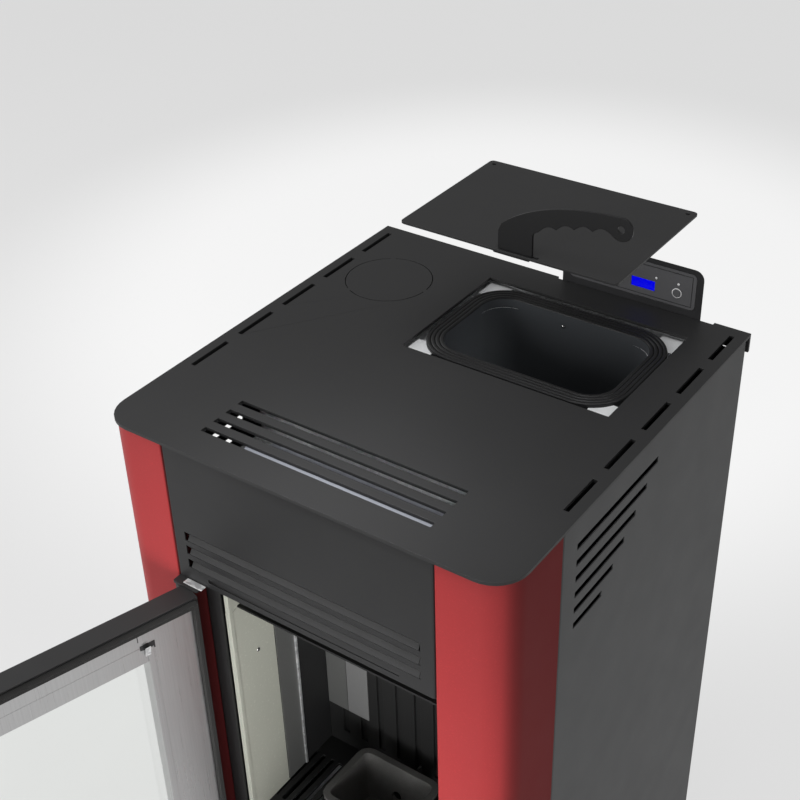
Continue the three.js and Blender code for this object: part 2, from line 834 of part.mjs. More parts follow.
const shelfHoles = [];
for (let i = 0; i < 5; i += 1) {
  const x = 90 + i * 14;
  shelfHoles.push(rectPoints(x, 90, x + 6, 180), rectPoints(-x - 6, 90, -x, 180));
}
const potBaseWidth = potWidth - potTaper * 2;
const potBaseDepth = potDepth - potTaper * 2;
add(
  "burn_pot_shelf",
  standing(
    rectPoints(
      -fireboxHalfWidth + fireboxWall + seatGap,
      frameBackY + seatGap + 1,
      fireboxHalfWidth - fireboxWall - seatGap,
      fireboxInnerBack - seatGap,
    ),
    shelfHeight,
    shelfHeight + shelfThickness,
    [...shelfHoles, centredRoundRect(0, potY, potBaseWidth - 12, potBaseDepth - 12, 6, 3)],
  ),
  finish.castIron,
);

const tubeFrontY = frameY - 12;
const tubeBackY = fireboxBackY + 22;
const headerY = fireboxBackY + seatGap;
const headerHalfWidth = (tubePitch * (tubeCount - 1)) / 2 + tubeRadius + 8;
const header = facing(
  roundRectPoints(-headerHalfWidth, tubeHeight - headerHalfHeight, headerHalfWidth, tubeHeight + headerHalfHeight, 6, 2),
  headerY,
  headerY + 3,
);
const tubeBodies = tubeXs.map((x) => rodY(x, tubeHeight, tubeRadius, tubeFrontY, tubeBackY, 16));
const tubeBores = tubeXs.map((x) => rodY(x, tubeHeight, tubeRadius - tubeWall, tubeFrontY - 1, tubeBackY + 1, 16));
add("heat_exchanger", cut(join(header, ...tubeBodies), ...tubeBores), finish.motor);

add(
  "igniter",
  join(
    rodY(0, igniterZ, igniterRadius, potY + potDepth / 2 + 6, fireboxBackY + 34, 16),
    rodY(0, igniterZ, igniterRadius + 5, fireboxBackY + seatGap, fireboxBackY + 10, 6),
  ),
  finish.stainless,
);

// The deflector turns the warm air forwards and up to the grille.
add(
  "air_deflector",
  sideways(
    foldedOutline(
      [
        [columnFrontY + panelThickness + seatGap, plateUnder - 24, 0],
        [grilleFirstY, plateUnder - 30, 20],
        [grilleFirstY + 60, plateUnder - 62, 20],
        [grilleFirstY + 100, plateUnder - 62, 8],
        [grilleFirstY + 100, plateUnder - seatGap, 0],
      ],
      panelThickness,
      4,
    ),
    -grilleSlotHalfLength - 8,
    grilleSlotHalfLength + 8,
  ),
  finish.zinc,
);

// ---------------------------------------------------------------- burn pot and ash drawer

const potRing = (shrink, z, share) =>
  level(
    centredRoundRect(
      0,
      potY,
      potBaseWidth + 2 * potTaper * share - 2 * shrink,
      potBaseDepth + 2 * potTaper * share - 2 * shrink,
      12 - shrink,
      3,
    ),
    z,
  );
const potBottom = shelfHeight + shelfThickness + seatGap;
const potTop = potBottom + potHeight;
const potShell = cut(
  join(
    toSolid(loft([potRing(0, potBottom, 0), potRing(0, potTop, 1)], false)),
    toSolid(loft([potRing(-potRim, potTop - 5, 1), potRing(-potRim, potTop, 1)], false)),
    toSolid(loft([potRing(7, potBottom - shelfThickness, 0), potRing(7, potBottom + 1, 0)], false)),
  ),
  toSolid(loft([potRing(potWall, potBottom + potWall, 0), potRing(potWall, potTop + 1, 1)], false)),
);
const potHoles = [];
for (let ix = -2; ix <= 2; ix += 1) {
  for (let iy = -1; iy <= 1; iy += 1) {
    potHoles.push(rodZ(ix * 14, potY + iy * 14, potHoleRadius, potBottom - 10, potBottom + potWall + 2, 8));
  }
}
const ignitionHole = rodY(0, igniterZ, igniterRadius + 1, potY + 10, potY + potDepth, 12);
add("burn_pot", cut(potShell, ...potHoles, ignitionHole), finish.castIron);

const drawerBottom = fireboxBottom + fireboxWall + seatGap;
const drawerTop = shelfHeight - drawerShelfGap;
const drawerLip = foldedOutline(
  [
    [drawerFrontY + 1, drawerTop - 14, 0],
    [drawerFrontY - 9, drawerTop - 14, 2.5],
    [drawerFrontY - 9, drawerTop - 22, 0],
  ],
  drawerWall,
  2,
);
add(
  "ash_drawer",
  join(
    cut(
      block(-drawerHalfWidth, drawerHalfWidth, drawerFrontY, drawerFrontY + drawerDepth, drawerBottom, drawerTop),
      block(
        -drawerHalfWidth + drawerWall,
        drawerHalfWidth - drawerWall,
        drawerFrontY + drawerWall,
        drawerFrontY + drawerDepth - drawerWall,
        drawerBottom + drawerWall,
        drawerTop + 1,
      ),
    ),
    sideways(drawerLip, -45, 45),
  ),
  finish.zinc,
);

// ---------------------------------------------------------------- hopper, seal, lid and tool

const flangeZ = stoveHeight - flangeDrop;
const hopperWidth = sealWidth - 2 * sealBand + 4;
const hopperDepth = sealDepth - 2 * sealBand + 4;
const hopperRadius = sealCornerRadius - sealBand + 2;
const mouthRing = (inset, z) =>
  level(
    centredRoundRect(mouthCentreX, mouthCentreY, hopperWidth - 2 * inset, hopperDepth - 2 * inset, hopperRadius - inset, 5),
    z,
  );
const outletRing = (inset, z) =>
  level(
    centredRoundRect(0, hopperOutletY, hopperOutletWidth - 2 * inset, hopperOutletDepth - 2 * inset, hopperOutletRadius - inset, 5),
    z,
  );
const coneTop = flangeZ - hopperStraightDepth;
const coneBottom = coneTop - hopperConeDepth;
const spoutBottom = coneBottom - hopperSpoutLength;
const hopperSkin = loft(
  [
    mouthRing(0, flangeZ),
    mouthRing(0, coneTop),
    outletRing(0, coneBottom),
    outletRing(0, spoutBottom),
    outletRing(hopperWall, spoutBottom),
    outletRing(hopperWall, coneBottom),
    mouthRing(hopperWall, coneTop),
    mouthRing(hopperWall, flangeZ),
  ],
  true,
);
const flangeX0 = mouthLeftX - flangeMargin;
const flangeX1 = mouthRightX + flangeMargin;
const flangeY0 = mouthFrontY - flangeMargin;
const flangeY1 = mouthBackY + flangeMargin;
const hopperFlange = standing(rectPoints(flangeX0, flangeY0, flangeX1, flangeY1), flangeZ - hopperWall, flangeZ, [
  centredRoundRect(
    mouthCentreX,
    mouthCentreY,
    hopperWidth - 2 * hopperWall,
    hopperDepth - 2 * hopperWall,
    hopperRadius - hopperWall,
    5,
  ),
]);
const hopperRim = standing(
  rectPoints(flangeX0, flangeY0, flangeX1, flangeY1),
  flangeZ - hopperWall,
  plateUnder - seatGap,
  [rectPoints(flangeX0 + hopperWall, flangeY0 + hopperWall, flangeX1 - hopperWall, flangeY1 - hopperWall)],
);
const flipIfInsideOut = (geometry) => {
  const solid = toSolid(geometry);
  if (solid.volume() > 0) return solid;
  const index = geometry.index.array.slice();
  for (let i = 0; i < index.length; i += 3) [index[i], index[i + 1]] = [index[i + 1], index[i]];
  geometry.setIndex(new THREE.BufferAttribute(index, 1));
  return toSolid(geometry);
};
add(
  "hopper",
  cut(
    join(flipIfInsideOut(hopperSkin), hopperFlange, hopperRim),
    augerRod(augerTubeRadius + seatGap, -20, 320),
    augerLowerHalf,
  ),
  finish.hopperGrey,
);

// Ridges run round the seal in parallel, each a step up from the grooves between them.
const sealBottom = flangeZ + seatGap;
const sealTop = stoveHeight - lidThickness - seatGap;
const sealRing = (inset, z) =>
  level(
    centredRoundRect(mouthCentreX, mouthCentreY, sealWidth - 2 * inset, sealDepth - 2 * inset, sealCornerRadius - inset, 5),
    z,
  );
const ridgePitch = sealBand / (sealRidgeCount - sealGrooveShare);
const sealRings = [sealRing(0, sealBottom)];
for (let i = 0; i < sealRidgeCount; i += 1) {
  const start = i * ridgePitch;
  const end = start + ridgePitch * (1 - sealGrooveShare);
  sealRings.push(sealRing(start, sealTop), sealRing(end, sealTop));
  if (i < sealRidgeCount - 1) {
    sealRings.push(sealRing(end, sealTop - sealRidgeDepth), sealRing(start + ridgePitch, sealTop - sealRidgeDepth));
  }
}
sealRings.push(sealRing(sealBand, sealBottom));
add("hopper_seal", flipIfInsideOut(loft(sealRings, true)), finish.rubber);

// Drawn closed; the lid and its tool are carried by one lifted group.
const lifted = new THREE.Group();
lifted.position.z = lidLift;
stove.add(lifted);
const lidBottom = stoveHeight - lidThickness;
const neckLeftX = toolFootX + toolShoulder;
const neckRightX = toolFootX + toolFootWidth - toolShoulder;
const lidX0 = mouthLeftX + lidGap;
const lidX1 = mouthRightX - lidGap;
const lidY0 = mouthFrontY + lidGap;
const lidY1 = mouthBackY - lidGap;
addTo(
  lifted,
  "hopper_lid",
  toGeometry(
    standing(roundRectPoints(lidX0, lidY0, lidX1, lidY1, lidCornerRadius, 3), lidBottom, stoveHeight, [
      rectPoints(
        neckLeftX - seatGap,
        toolY - seatGap,
        neckRightX + toolHookLength + seatGap,
        toolY + toolThickness + seatGap,
      ),
      circlePoints(lidX0 + lidHoleInset, lidY1 - lidHoleInset, lidHoleRadius, 12),
      circlePoints(lidX1 - lidHoleInset, lidY1 - lidHoleInset, lidHoleRadius, 12),
    ]),
  ),
  finish.darkPlate,
);

// The tool is one flat blank: hook and neck below, a curved grip with finger scallops above.
const footTop = stoveHeight + seatGap;
const hookTop = lidBottom - seatGap;
const toolEnd = new THREE.Vector2(toolEndX, stoveHeight + toolEndHeight);
const gripArc = new THREE.QuadraticBezierCurve(
  new THREE.Vector2(toolFootX + 4, footTop + toolFootHeight + 9),
  new THREE.Vector2(toolFootX + 52, stoveHeight + toolTopHeight - 1),
  new THREE.Vector2(toolEndX, toolEnd.y + toolEndRadius),
);
const scallopFrom = new THREE.Vector2(toolFootX + toolFootWidth + 7, footTop + 31);
const scallopTo = new THREE.Vector2(toolEndX - toolEndRadius + 2, toolEnd.y - toolEndRadius + 5);
const scallopPoints = [];
const scallopSteps = 6;
for (let i = toolScallopCount * scallopSteps; i >= 0; i -= 1) {
  const t = i / (toolScallopCount * scallopSteps);
  const bow = 12 * Math.sin(Math.PI * t) * (1 - 0.3 * t);
  const wave = toolScallopDepth * Math.abs(Math.sin(Math.PI * toolScallopCount * t));
  const point = scallopFrom.clone().lerp(scallopTo, t);
  scallopPoints.push(new THREE.Vector2(point.x, point.y + bow * 0.35 + wave));
}
const toolOutline = [
  new THREE.Vector2(neckLeftX, footTop),
  new THREE.Vector2(toolFootX, footTop),
  new THREE.Vector2(toolFootX, footTop + toolFootHeight),
  ...gripArc.getPoints(12),
  ...arcPoints(toolEnd.x, toolEnd.y, toolEndRadius, Math.PI / 2 - 0.2, -2.3, 12),
  ...scallopPoints,
  new THREE.Vector2(toolFootX + toolFootWidth + 1.5, footTop + 28),
  new THREE.Vector2(toolFootX + toolFootWidth, footTop + 24),
  new THREE.Vector2(toolFootX + toolFootWidth, footTop),
  new THREE.Vector2(neckRightX, footTop),
  new THREE.Vector2(neckRightX, hookTop - toolHookDepth),
  new THREE.Vector2(neckLeftX - toolHookLength + 1.5, hookTop - toolHookDepth),
  new THREE.Vector2(neckLeftX - toolHookLength, hookTop - toolHookDepth + 1.5),
  new THREE.Vector2(neckLeftX - toolHookLength, hookTop),
  new THREE.Vector2(neckLeftX, hookTop),
];
addTo(
  lifted,
  "lid_tool",
  toGeometry(
    facing(toolOutline, toolY, toolY + toolThickness, [circlePoints(toolEnd.x, toolEnd.y, toolHoleRadius, 16)]),
  ),
  finish.blackSteel,
);

// ---------------------------------------------------------------- feed

const tubeEntry = block(
  -hopperOutletWidth / 2 + 6,
  hopperOutletWidth / 2 - 6,
  hopperOutletY - hopperOutletDepth / 2 + 6,
  hopperOutletY + hopperOutletDepth / 2 - 6,
  augerLowZ + 20,
  coneBottom + 10,
);
const augerTube = cut(
  join(augerRod(augerTubeRadius, 0, augerLength), augerRod(augerTubeRadius + 8, 0, 4)),
  augerRod(augerTubeRadius - augerTubeWall, -1, augerLength - 3),
  augerRod(screwShaftRadius + 0.5, augerLength - 5, augerLength + 1, 20),
  cut(tubeEntry, augerLowerHalf),
  cut(chuteBore, augerUpperHalf),
);
add("auger_tube", augerTube, finish.motor);
add(
  "pellet_chute",
  cut(chuteOuter, chuteBore, augerRod(augerTubeRadius + seatGap, -20, augerLength + 60), augerUpperHalf),
  finish.castIron,
);

const screwSteps = 10;
const screwFrom = 8;
const screwTo = augerLength - 14;
const bladeRings = [];
const screwTurns = (screwTo - screwFrom - 6) / screwPitch;
for (let i = 0; i <= Math.floor(screwTurns * screwSteps); i += 1) {
  const angle = (i / screwSteps) * 2 * Math.PI;
  const rise = screwFrom + 2 + (i / screwSteps) * screwPitch;
  const corner = (radius, z) => new THREE.Vector3(radius * Math.cos(angle), radius * Math.sin(angle), z);
  bladeRings.push([
    corner(screwShaftRadius - 2, rise),
    corner(screwRadius, rise),
    corner(screwRadius, rise + screwBladeThickness),
    corner(screwShaftRadius - 2, rise + screwBladeThickness),
  ]);
}
const screwBlade = flipIfInsideOut(loft(bladeRings, false));
add(
  "auger_screw",
  alongAuger(join(rodZ(0, 0, screwShaftRadius, 1, augerLength + 4, 16), screwBlade)),
  finish.stainless,
);
add(
  "auger_gearmotor",
  alongAuger(
    join(
      block(-34, 34, -36, 34, -26, -seatGap),
      rodZ(0, 4, 26, -78, -25, 20),
    ),
  ),
  finish.motor,
);

// ---------------------------------------------------------------- room air blower

const ringPlate = (inner) => [circlePoints(blowerY, blowerZ, inner, 20)];
const endPlate = (x0, x1) =>
  sideways(
    roundRectPoints(blowerY - 50, trayFloor + seatGap, blowerY + 50, blowerZ + 48, 6, 2),
    x0,
    x1,
    ringPlate(7),
  );
const blowerRightX = blowerLeftX + blowerLength;
const blowerBack = sideways(
  foldedOutline(
    [
      [blowerY - 42, blowerZ - 44, 0],
      [blowerY + 46, blowerZ - 44, 38],
      [blowerY + 46, blowerZ + 70, 0],
    ],
    2,
    8,
  ),
  blowerLeftX - 6,
  blowerRightX + 6,
);
add(
  "blower_housing",
  join(endPlate(blowerLeftX - 6, blowerLeftX - 4), endPlate(blowerRightX + 4, blowerRightX + 6), blowerBack),
  finish.zinc,
);
const bladeSolid = (angle) => {
  const centre = new THREE.Vector2(blowerY, blowerZ);
  const turn = (point) => point.rotateAround(new THREE.Vector2(0, 0), angle).add(centre);
  const outer = arcPoints(blowerRadius - 6, -3, 7, 0.35, 2.1, 2).map(turn);
  const inner = arcPoints(blowerRadius - 6, -3, 5.8, 2.1, 0.35, 2).map(turn);
  return sideways([...outer, ...inner], blowerLeftX + 1, blowerRightX - 1);
};
const rotorDiscs = [blowerLeftX, blowerLeftX + blowerLength / 2 - 1, blowerRightX - 2].map((x) =>
  rodX(blowerY, blowerZ, blowerRadius, x, x + 2, 20),
);
add(
  "blower_impeller",
  join(
    rodX(blowerY, blowerZ, 4, blowerLeftX - 12, blowerRightX + 8, 12),
    ...rotorDiscs,
    ...slotRow(bladeCount, (i) => bladeSolid((i * 2 * Math.PI) / bladeCount)),
  ),
  finish.zinc,
);
add(
  "blower_motor",
  join(
    rodX(blowerY, blowerZ, 30, blowerRightX + 12, blowerRightX + 44, 20),
    rodX(blowerY, blowerZ, 12, blowerRightX + 8 + seatGap, blowerRightX + 50, 12),
    block(blowerRightX + 12, blowerRightX + 44, blowerY - 16, blowerY + 16, trayFloor + seatGap, blowerZ - 10),
  ),
  finish.motor,
);

// ---------------------------------------------------------------- exhaust fan and flue

const scrollOutline = (inset, outletY) => {
  const points = [new THREE.Vector2(outletY, exhaustZ + scrollRadius - inset)];
  const sweep = THREE.MathUtils.degToRad(282);
  const steps = 22;
  for (let i = 0; i <= steps; i += 1) {
    const angle = Math.PI / 2 + (sweep * i) / steps;
    const radius = scrollRadius - (scrollTaper * i) / steps - inset;
    points.push(new THREE.Vector2(exhaustY + radius * Math.cos(angle), exhaustZ + radius * Math.sin(angle)));
  }
  points.push(new THREE.Vector2(outletY, points[points.length - 1].y));
  return points;
};
const scrollRightX = scrollLeftX + scrollWidth;
const outletY = exhaustY + 76;
const exhaustInletRadius = 32;
add(
  "exhaust_housing",
  cut(
    sideways(scrollOutline(0, outletY), scrollLeftX, scrollRightX),
    sideways(scrollOutline(scrollWall, outletY + 5), scrollLeftX + scrollWall, scrollRightX - scrollWall),
    rodX(exhaustY, exhaustZ, exhaustInletRadius, scrollRightX - 6, scrollRightX + 2, 24),
    rodX(exhaustY, exhaustZ, 7, scrollLeftX - 2, scrollLeftX + 6, 16),
  ),
  finish.castIron,
);
const wheelLeftX = scrollLeftX + 14;
const wheelBlades = slotRow(wheelBladeCount, (i) => {
  const angle = (i * 2 * Math.PI) / wheelBladeCount;
  const turn = (y, z) => new THREE.Vector2(y, z).rotateAround(new THREE.Vector2(0, 0), angle).add(new THREE.Vector2(exhaustY, exhaustZ));
  return sideways([turn(10, -1.2), turn(wheelRadius - 1, -1.2), turn(wheelRadius - 1, 1.2), turn(10, 1.2)], wheelLeftX + 1, wheelLeftX + 40);
});
add(
  "exhaust_impeller",
  join(
    rodX(exhaustY, exhaustZ, wheelRadius, wheelLeftX, wheelLeftX + 2, 28),
    rodX(exhaustY, exhaustZ, 14, wheelLeftX + 1, wheelLeftX + 30, 16),
    rodX(exhaustY, exhaustZ, 5, scrollLeftX - 4, wheelLeftX + 2, 12),
    ...wheelBlades,
  ),
  finish.stainless,
);
add(
  "exhaust_motor",
  cut(
    join(
      rodX(exhaustY, exhaustZ, 36, scrollLeftX - 42, scrollLeftX - seatGap, 24),
      rodX(exhaustY, exhaustZ, 44, scrollLeftX - 4, scrollLeftX - seatGap, 24),
    ),
    rodX(exhaustY, exhaustZ, 6, scrollLeftX - 8, scrollLeftX + 1, 16),
  ),
  finish.motor,
);

const flueFrontY = outletY + seatGap;
const flueBackY = rearBackY + flueProud;
add(
  "flue_spigot",
  cut(
    join(
      rodY(flueX, flueZ, flueRadius, flueFrontY, flueBackY, 28),
      facing(roundRectPoints(scrollLeftX, flueZ - 44, scrollRightX, flueZ + 44, 4, 2), flueFrontY, flueFrontY + 3),
    ),
    rodY(flueX, flueZ, flueRadius - flueWall, flueFrontY - 1, flueBackY + 1, 28),
  ),
  finish.blackSteel,
);

const smokeOutline = (inset) =>
  [
    [fireboxBackY + seatGap - (inset > 0 ? 5 : 0), smokeTop - inset],
    [fireboxBackY + 40, smokeTop - inset],
    [exhaustY + 42 - inset, exhaustZ + 44],
    [exhaustY + 42 - inset, exhaustZ - 42 + inset],
    [exhaustY - 42 + inset, exhaustZ - 42 + inset],
    [exhaustY - 42 + inset, exhaustZ + 20 + inset],
    [fireboxBackY + 24, smokeBottom + inset],
    [fireboxBackY + seatGap - (inset > 0 ? 5 : 0), smokeBottom + inset],
  ].map(([y, z]) => new THREE.Vector2(y, z));
add(
  "smoke_duct",
  cut(
    sideways(smokeOutline(0), smokeLeftX, smokeRightX),
    sideways(smokeOutline(2), smokeLeftX + 2, smokeRightX - 2),
    rodX(exhaustY, exhaustZ, exhaustInletRadius, smokeLeftX - 1, smokeLeftX + 4, 24),
  ),
  finish.zinc,
);

const intakeBackY = rearBackY + 26;
add(
  "air_intake_pipe",
  cut(
    rodY(intakeX, intakeZ, intakeRadius, fireboxBackY + seatGap, intakeBackY),
    rodY(intakeX, intakeZ, intakeRadius - flueWall, fireboxBackY - 1, intakeBackY + 1),
  ),
  finish.zinc,
);

// ---------------------------------------------------------------- control panel

const consoleY = rearBackY + seatGap;
const consoleTop = stoveHeight + consoleRise;
const consoleBottom = stoveHeight - consoleDrop;
const consoleRightX = consoleLeftX + consoleWidth;
const buttonXs = [consoleLeftX + buttonInset, consoleRightX - buttonInset];
const buttonZ = stoveHeight + 26.7;
const displayZ = consoleTop - displayDrop;
const displayRect = (grow) =>
  rectPoints(
    displayX - displayWidth / 2 - grow,
    displayZ - displayHeight / 2 - grow,
    displayX + displayWidth / 2 + grow,
    displayZ + displayHeight / 2 + grow,
  );
const fasciaOutline = (grow) =>
  roundRectPoints(
    consoleLeftX + fasciaMargin - grow,
    stoveHeight + fasciaMargin - grow,
    consoleRightX - fasciaMargin + grow,
    consoleTop - fasciaMargin + 2 + grow,
    6,
    3,
  );
const consoleOutline = [
  new THREE.Vector2(consoleLeftX, consoleBottom),
  new THREE.Vector2(consoleRightX, consoleBottom),
  ...arcPoints(consoleRightX - consoleRadius, consoleTop - consoleRadius, consoleRadius, 0, Math.PI / 2, 6),
  ...arcPoints(consoleLeftX + consoleRadius, consoleTop - consoleRadius, consoleRadius, Math.PI / 2, Math.PI, 6),
];
const fasciaSeat = consoleY + fasciaThickness + seatGap;
add(
  "control_console",
  cut(
    facing(consoleOutline, consoleY, consoleY + consoleDepth),
    facing(fasciaOutline(seatGap), consoleY - 1, fasciaSeat),
    facing(displayRect(seatGap), consoleY - 1, fasciaSeat + 4),
    ...buttonXs.map((x) => rodY(x, buttonZ, buttonRadius, consoleY - 1, fasciaSeat + 10)),
  ),
  finish.plastic,
);
add(
  "console_fascia",
  facing(fasciaOutline(0), consoleY, consoleY + fasciaThickness, [
    displayRect(seatGap),
    ...buttonXs.map((x) => circlePoints(x, buttonZ, buttonRadius, 24)),
  ]),
  finish.sidePanel,
);
add("display_window", facing(displayRect(0), consoleY + 0.4, fasciaSeat + 3.7), finish.display);
["set_button", "power_button"].forEach((name, i) => {
  const cap = join(
    rodY(buttonXs[i], buttonZ, buttonRadius - buttonGap, consoleY - buttonTravel - 0.2, consoleY + 6),
    rodY(buttonXs[i], buttonZ, 2.5, consoleY + 5, fasciaSeat + 10 - buttonTravel - seatGap, 12),
  );
  add(name, cap, finish.plastic);
});

// ---------------------------------------------------------------- mains inlet and switch

const inletFlangeY = rearBackY + seatGap;
const inletBody = block(
  inletX - inletWidth / 2 + seatGap,
  inletX + inletWidth / 2 - seatGap,
  rearFrontY - 24,
  inletFlangeY + 1,
  inletZ - inletHeight / 2 + seatGap,
  inletZ + inletHeight / 2 - seatGap,
);
const inletFlange = facing(
  roundRectPoints(inletX - 20, inletZ - 34, inletX + 20, inletZ + 34, 4, 2),
  inletFlangeY,
  inletFlangeY + 3,
);
const socketZ = inletZ - 12;
const rockerZ = inletZ + 16;
const socketOutline = [
  [inletX - 12, socketZ - 8],
  [inletX + 12, socketZ - 8],
  [inletX + 12, socketZ + 4],
  [inletX + 7, socketZ + 8],
  [inletX - 7, socketZ + 8],
  [inletX - 12, socketZ + 4],
].map(([x, z]) => new THREE.Vector2(x, z));
const inletFaceY = inletFlangeY + 3;
const contactBlades = [
  [-7, -1],
  [0, 2],
  [7, -1],
].map(([dx, dz]) =>
  block(inletX + dx - 1, inletX + dx + 1, inletFaceY - 19, inletFaceY - 8, socketZ + dz - 2, socketZ + dz + 2),
);
const rockerHalfHeight = 8;
const rockerHalfWidth = 10;
add(
  "mains_inlet",
  join(
    cut(
      join(inletBody, inletFlange),
      facing(socketOutline, inletFaceY - 18, inletFaceY + 1),
      block(
        inletX - rockerHalfWidth - 0.5,
        inletX + rockerHalfWidth + 0.5,
        inletFaceY - 9,
        inletFaceY + 1,
        rockerZ - rockerHalfHeight - 1.2,
        rockerZ + rockerHalfHeight + 1.2,
      ),
    ),
    ...contactBlades,
  ),
  finish.plastic,
);
const rockerTilt = THREE.MathUtils.degToRad(7);
const rockerPivot = new THREE.Vector2(inletFaceY - 2.5, rockerZ);
const rockerProfile = [
  [1.6, -rockerHalfHeight],
  [0.6, 0],
  [1.6, rockerHalfHeight],
  [-4.5, rockerHalfHeight - 2.5],
  [-5.2, 0],
  [-4.5, -rockerHalfHeight + 2.5],
].map(([y, z]) => new THREE.Vector2(y, z).rotateAround(new THREE.Vector2(0, 0), rockerTilt).add(rockerPivot));
add("mains_switch", sideways(rockerProfile, inletX - rockerHalfWidth, inletX + rockerHalfWidth), finish.plastic);

// ---------------------------------------------------------------- hinges and door

const hingePlate = (z0, pinFrom, pinTo, tabFrom, tabTo) =>
  join(
    standing(
      roundRectPoints(hingeX - 4.6, hingeY - 6, hingeX - 4.6 + hingePlateWidth, frameY - seatGap, 2, 2),
      z0,
      z0 + hingePlateThickness,
    ),
    rodZ(hingeX, hingeY, hingePinRadius, pinFrom, pinTo, 16),
    block(
      hingeX - 4.6,
      hingeX - 4.6 + hingePlateWidth,
      frameY - seatGap - hingePlateThickness,
      frameY - seatGap,
      tabFrom,
      tabTo,
    ),
  );
const upperPlateZ = doorTop + hingeGap;
const lowerPlateZ = doorBottom - hingeGap - hingePlateThickness;
add(
  "upper_hinge",
  hingePlate(upperPlateZ, doorTop - hingeLugHeight + 1, upperPlateZ + 1, upperPlateZ, upperPlateZ + 24),
  finish.zinc,
);
add(
  "lower_hinge",
  hingePlate(lowerPlateZ, lowerPlateZ + 1, doorBottom + hingeLugHeight - 1, lowerPlateZ - 20, lowerPlateZ + 1),
  finish.zinc,
);

const doorGroup = new THREE.Group();
doorGroup.position.set(hingeX, hingeY, 0);
doorGroup.rotation.z = doorOpenAngle;
stove.add(doorGroup);
const addToDoor = (name, solid, look) => {
  const geometry = toGeometry(solid).translate(-hingeX, -hingeY, 0);
  return addTo(doorGroup, name, geometry, look);
};

const doorBackY = doorFrontY + doorThickness;
const windowTop = doorTop - windowTopDrop;
const windowBottom = windowTop - windowHeight;
const windowRect = (grow) =>
  roundRectPoints(-windowHalfWidth - grow, windowBottom - grow, windowHalfWidth + grow, windowTop + grow, 6 + grow, 3);
const doorRect = (inset) =>
  rectPoints(-doorHalfWidth + inset, doorBottom + inset, doorHalfWidth - inset, doorTop - inset);
const lugSolid = (z0) =>
  cut(
    join(
      rodZ(hingeX, hingeY, hingeLugRadius, z0, z0 + hingeLugHeight, 20),
      block(-doorHalfWidth, hingeX + hingeLugRadius, hingeY, doorFrontY + 1, z0, z0 + hingeLugHeight),
    ),
    rodZ(hingeX, hingeY, hingePinRadius + seatGap, z0 - 1, z0 + hingeLugHeight + 1, 16),
  );
const spindleHole = (y0, y1) => rodY(handleX, handleZ, spindleRadius + spindleClearance, y0, y1, 20);
addToDoor(
  "door_frame",
  cut(
    join(
      cut(
        facing(doorRect(0), doorFrontY, doorBackY),
        facing(doorRect(doorWall), doorFrontY + doorWall, doorBackY + 1),
        facing(windowRect(4), doorFrontY - 1, doorFrontY + doorWall + 1),
      ),
      lugSolid(doorBottom),
      lugSolid(doorTop - hingeLugHeight),
    ),
    spindleHole(doorFrontY - 1, doorFrontY + doorWall + 1),
  ),
  finish.blackSteel,
);

const glassY = doorFrontY + doorWall + seatGap;
addToDoor("door_glass", facing(windowRect(glassMargin), glassY, glassY + glassThickness), finish.glass);

const ropeOuter = doorWall + seatGap;
const ropeInner = ropeOuter + ropeWidth;
addToDoor(
  "door_seal",
  facing(doorRect(ropeOuter), doorBackY + ropeProud - ropeDepth, doorBackY + ropeProud, [doorRect(ropeInner)]),
  finish.rubber,
);

// The inner plate is a shallow tray: its rim and the window's returns run forwards to the glass.
const plateInset = ropeInner + seatGap;
const returnFrontY = glassY + glassThickness + seatGap;
addToDoor(
  "door_inner_plate",
  cut(
    join(
      facing(doorRect(plateInset), doorBackY - innerPlateThickness, doorBackY, [windowRect(innerPlateThickness)]),
      facing(doorRect(plateInset), returnFrontY, doorBackY - 1, [doorRect(plateInset + innerPlateThickness)]),
      facing(windowRect(innerPlateThickness), returnFrontY, doorBackY, [windowRect(0)]),
    ),
    spindleHole(doorFrontY, doorBackY + 1),
  ),
  finish.stainless,
);

const camY = frameBackY + 0.8;
const gripY = doorFrontY - gripStandOff;
addToDoor(
  "door_handle",
  join(
    rodY(handleX, handleZ, spindleRadius, gripY, camY + camThickness + 3, 20),
    rodY(handleX, handleZ, 11, doorFrontY - 8, doorFrontY - seatGap, 20),
    rodZ(handleX, gripY, gripRadius, handleZ - gripLength, handleZ + 14, 20),
  ),
  finish.stainless,
);
addToDoor(
  "door_latch",
  cut(
    facing(
      [
        ...arcPoints(handleX, handleZ, camWidth / 2 + 2, Math.PI, 2 * Math.PI, 10),
        ...arcPoints(handleX, handleZ + camLength - camWidth / 2, camWidth / 2, 0, Math.PI, 8),
      ],
      camY,
      camY + camThickness,
    ),
    rodY(handleX, handleZ, spindleRadius + seatGap, camY - 1, camY + camThickness + 1, 20),
  ),
  finish.zinc,
);

// ---------------------------------------------------------------- electronics

const controllerBackX = casingHalfWidth - panelThickness - seatGap;
const controllerDepth = 38;
const controllerLength = 130;
const controllerHeight = 180;
const controllerFrontY = casingBackY - 202;
const controllerBottom = augerLowZ - 60;
add(
  "controller_box",
  block(
    controllerBackX - controllerDepth,
    controllerBackX,
    controllerFrontY,
    controllerFrontY + controllerLength,
    controllerBottom,
    controllerBottom + controllerHeight,
  ),
  finish.plastic,
);

// ---------------------------------------------------------------- origin: middle of the floor under everything

const bounds = new THREE.Box3().setFromObject(stove);
const centre = bounds.getCenter(new THREE.Vector3());
stove.position.set(-centre.x, -centre.y, -bounds.min.z);

export default stove;
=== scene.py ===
"""Dresses a pellet stove: fire door open, hopper lid lifted above the slotted top plate."""

import logging
import math
from collections.abc import Callable, Sequence
from dataclasses import dataclass, replace
from enum import Enum

import bmesh
import bpy
from mathutils import Matrix, Vector


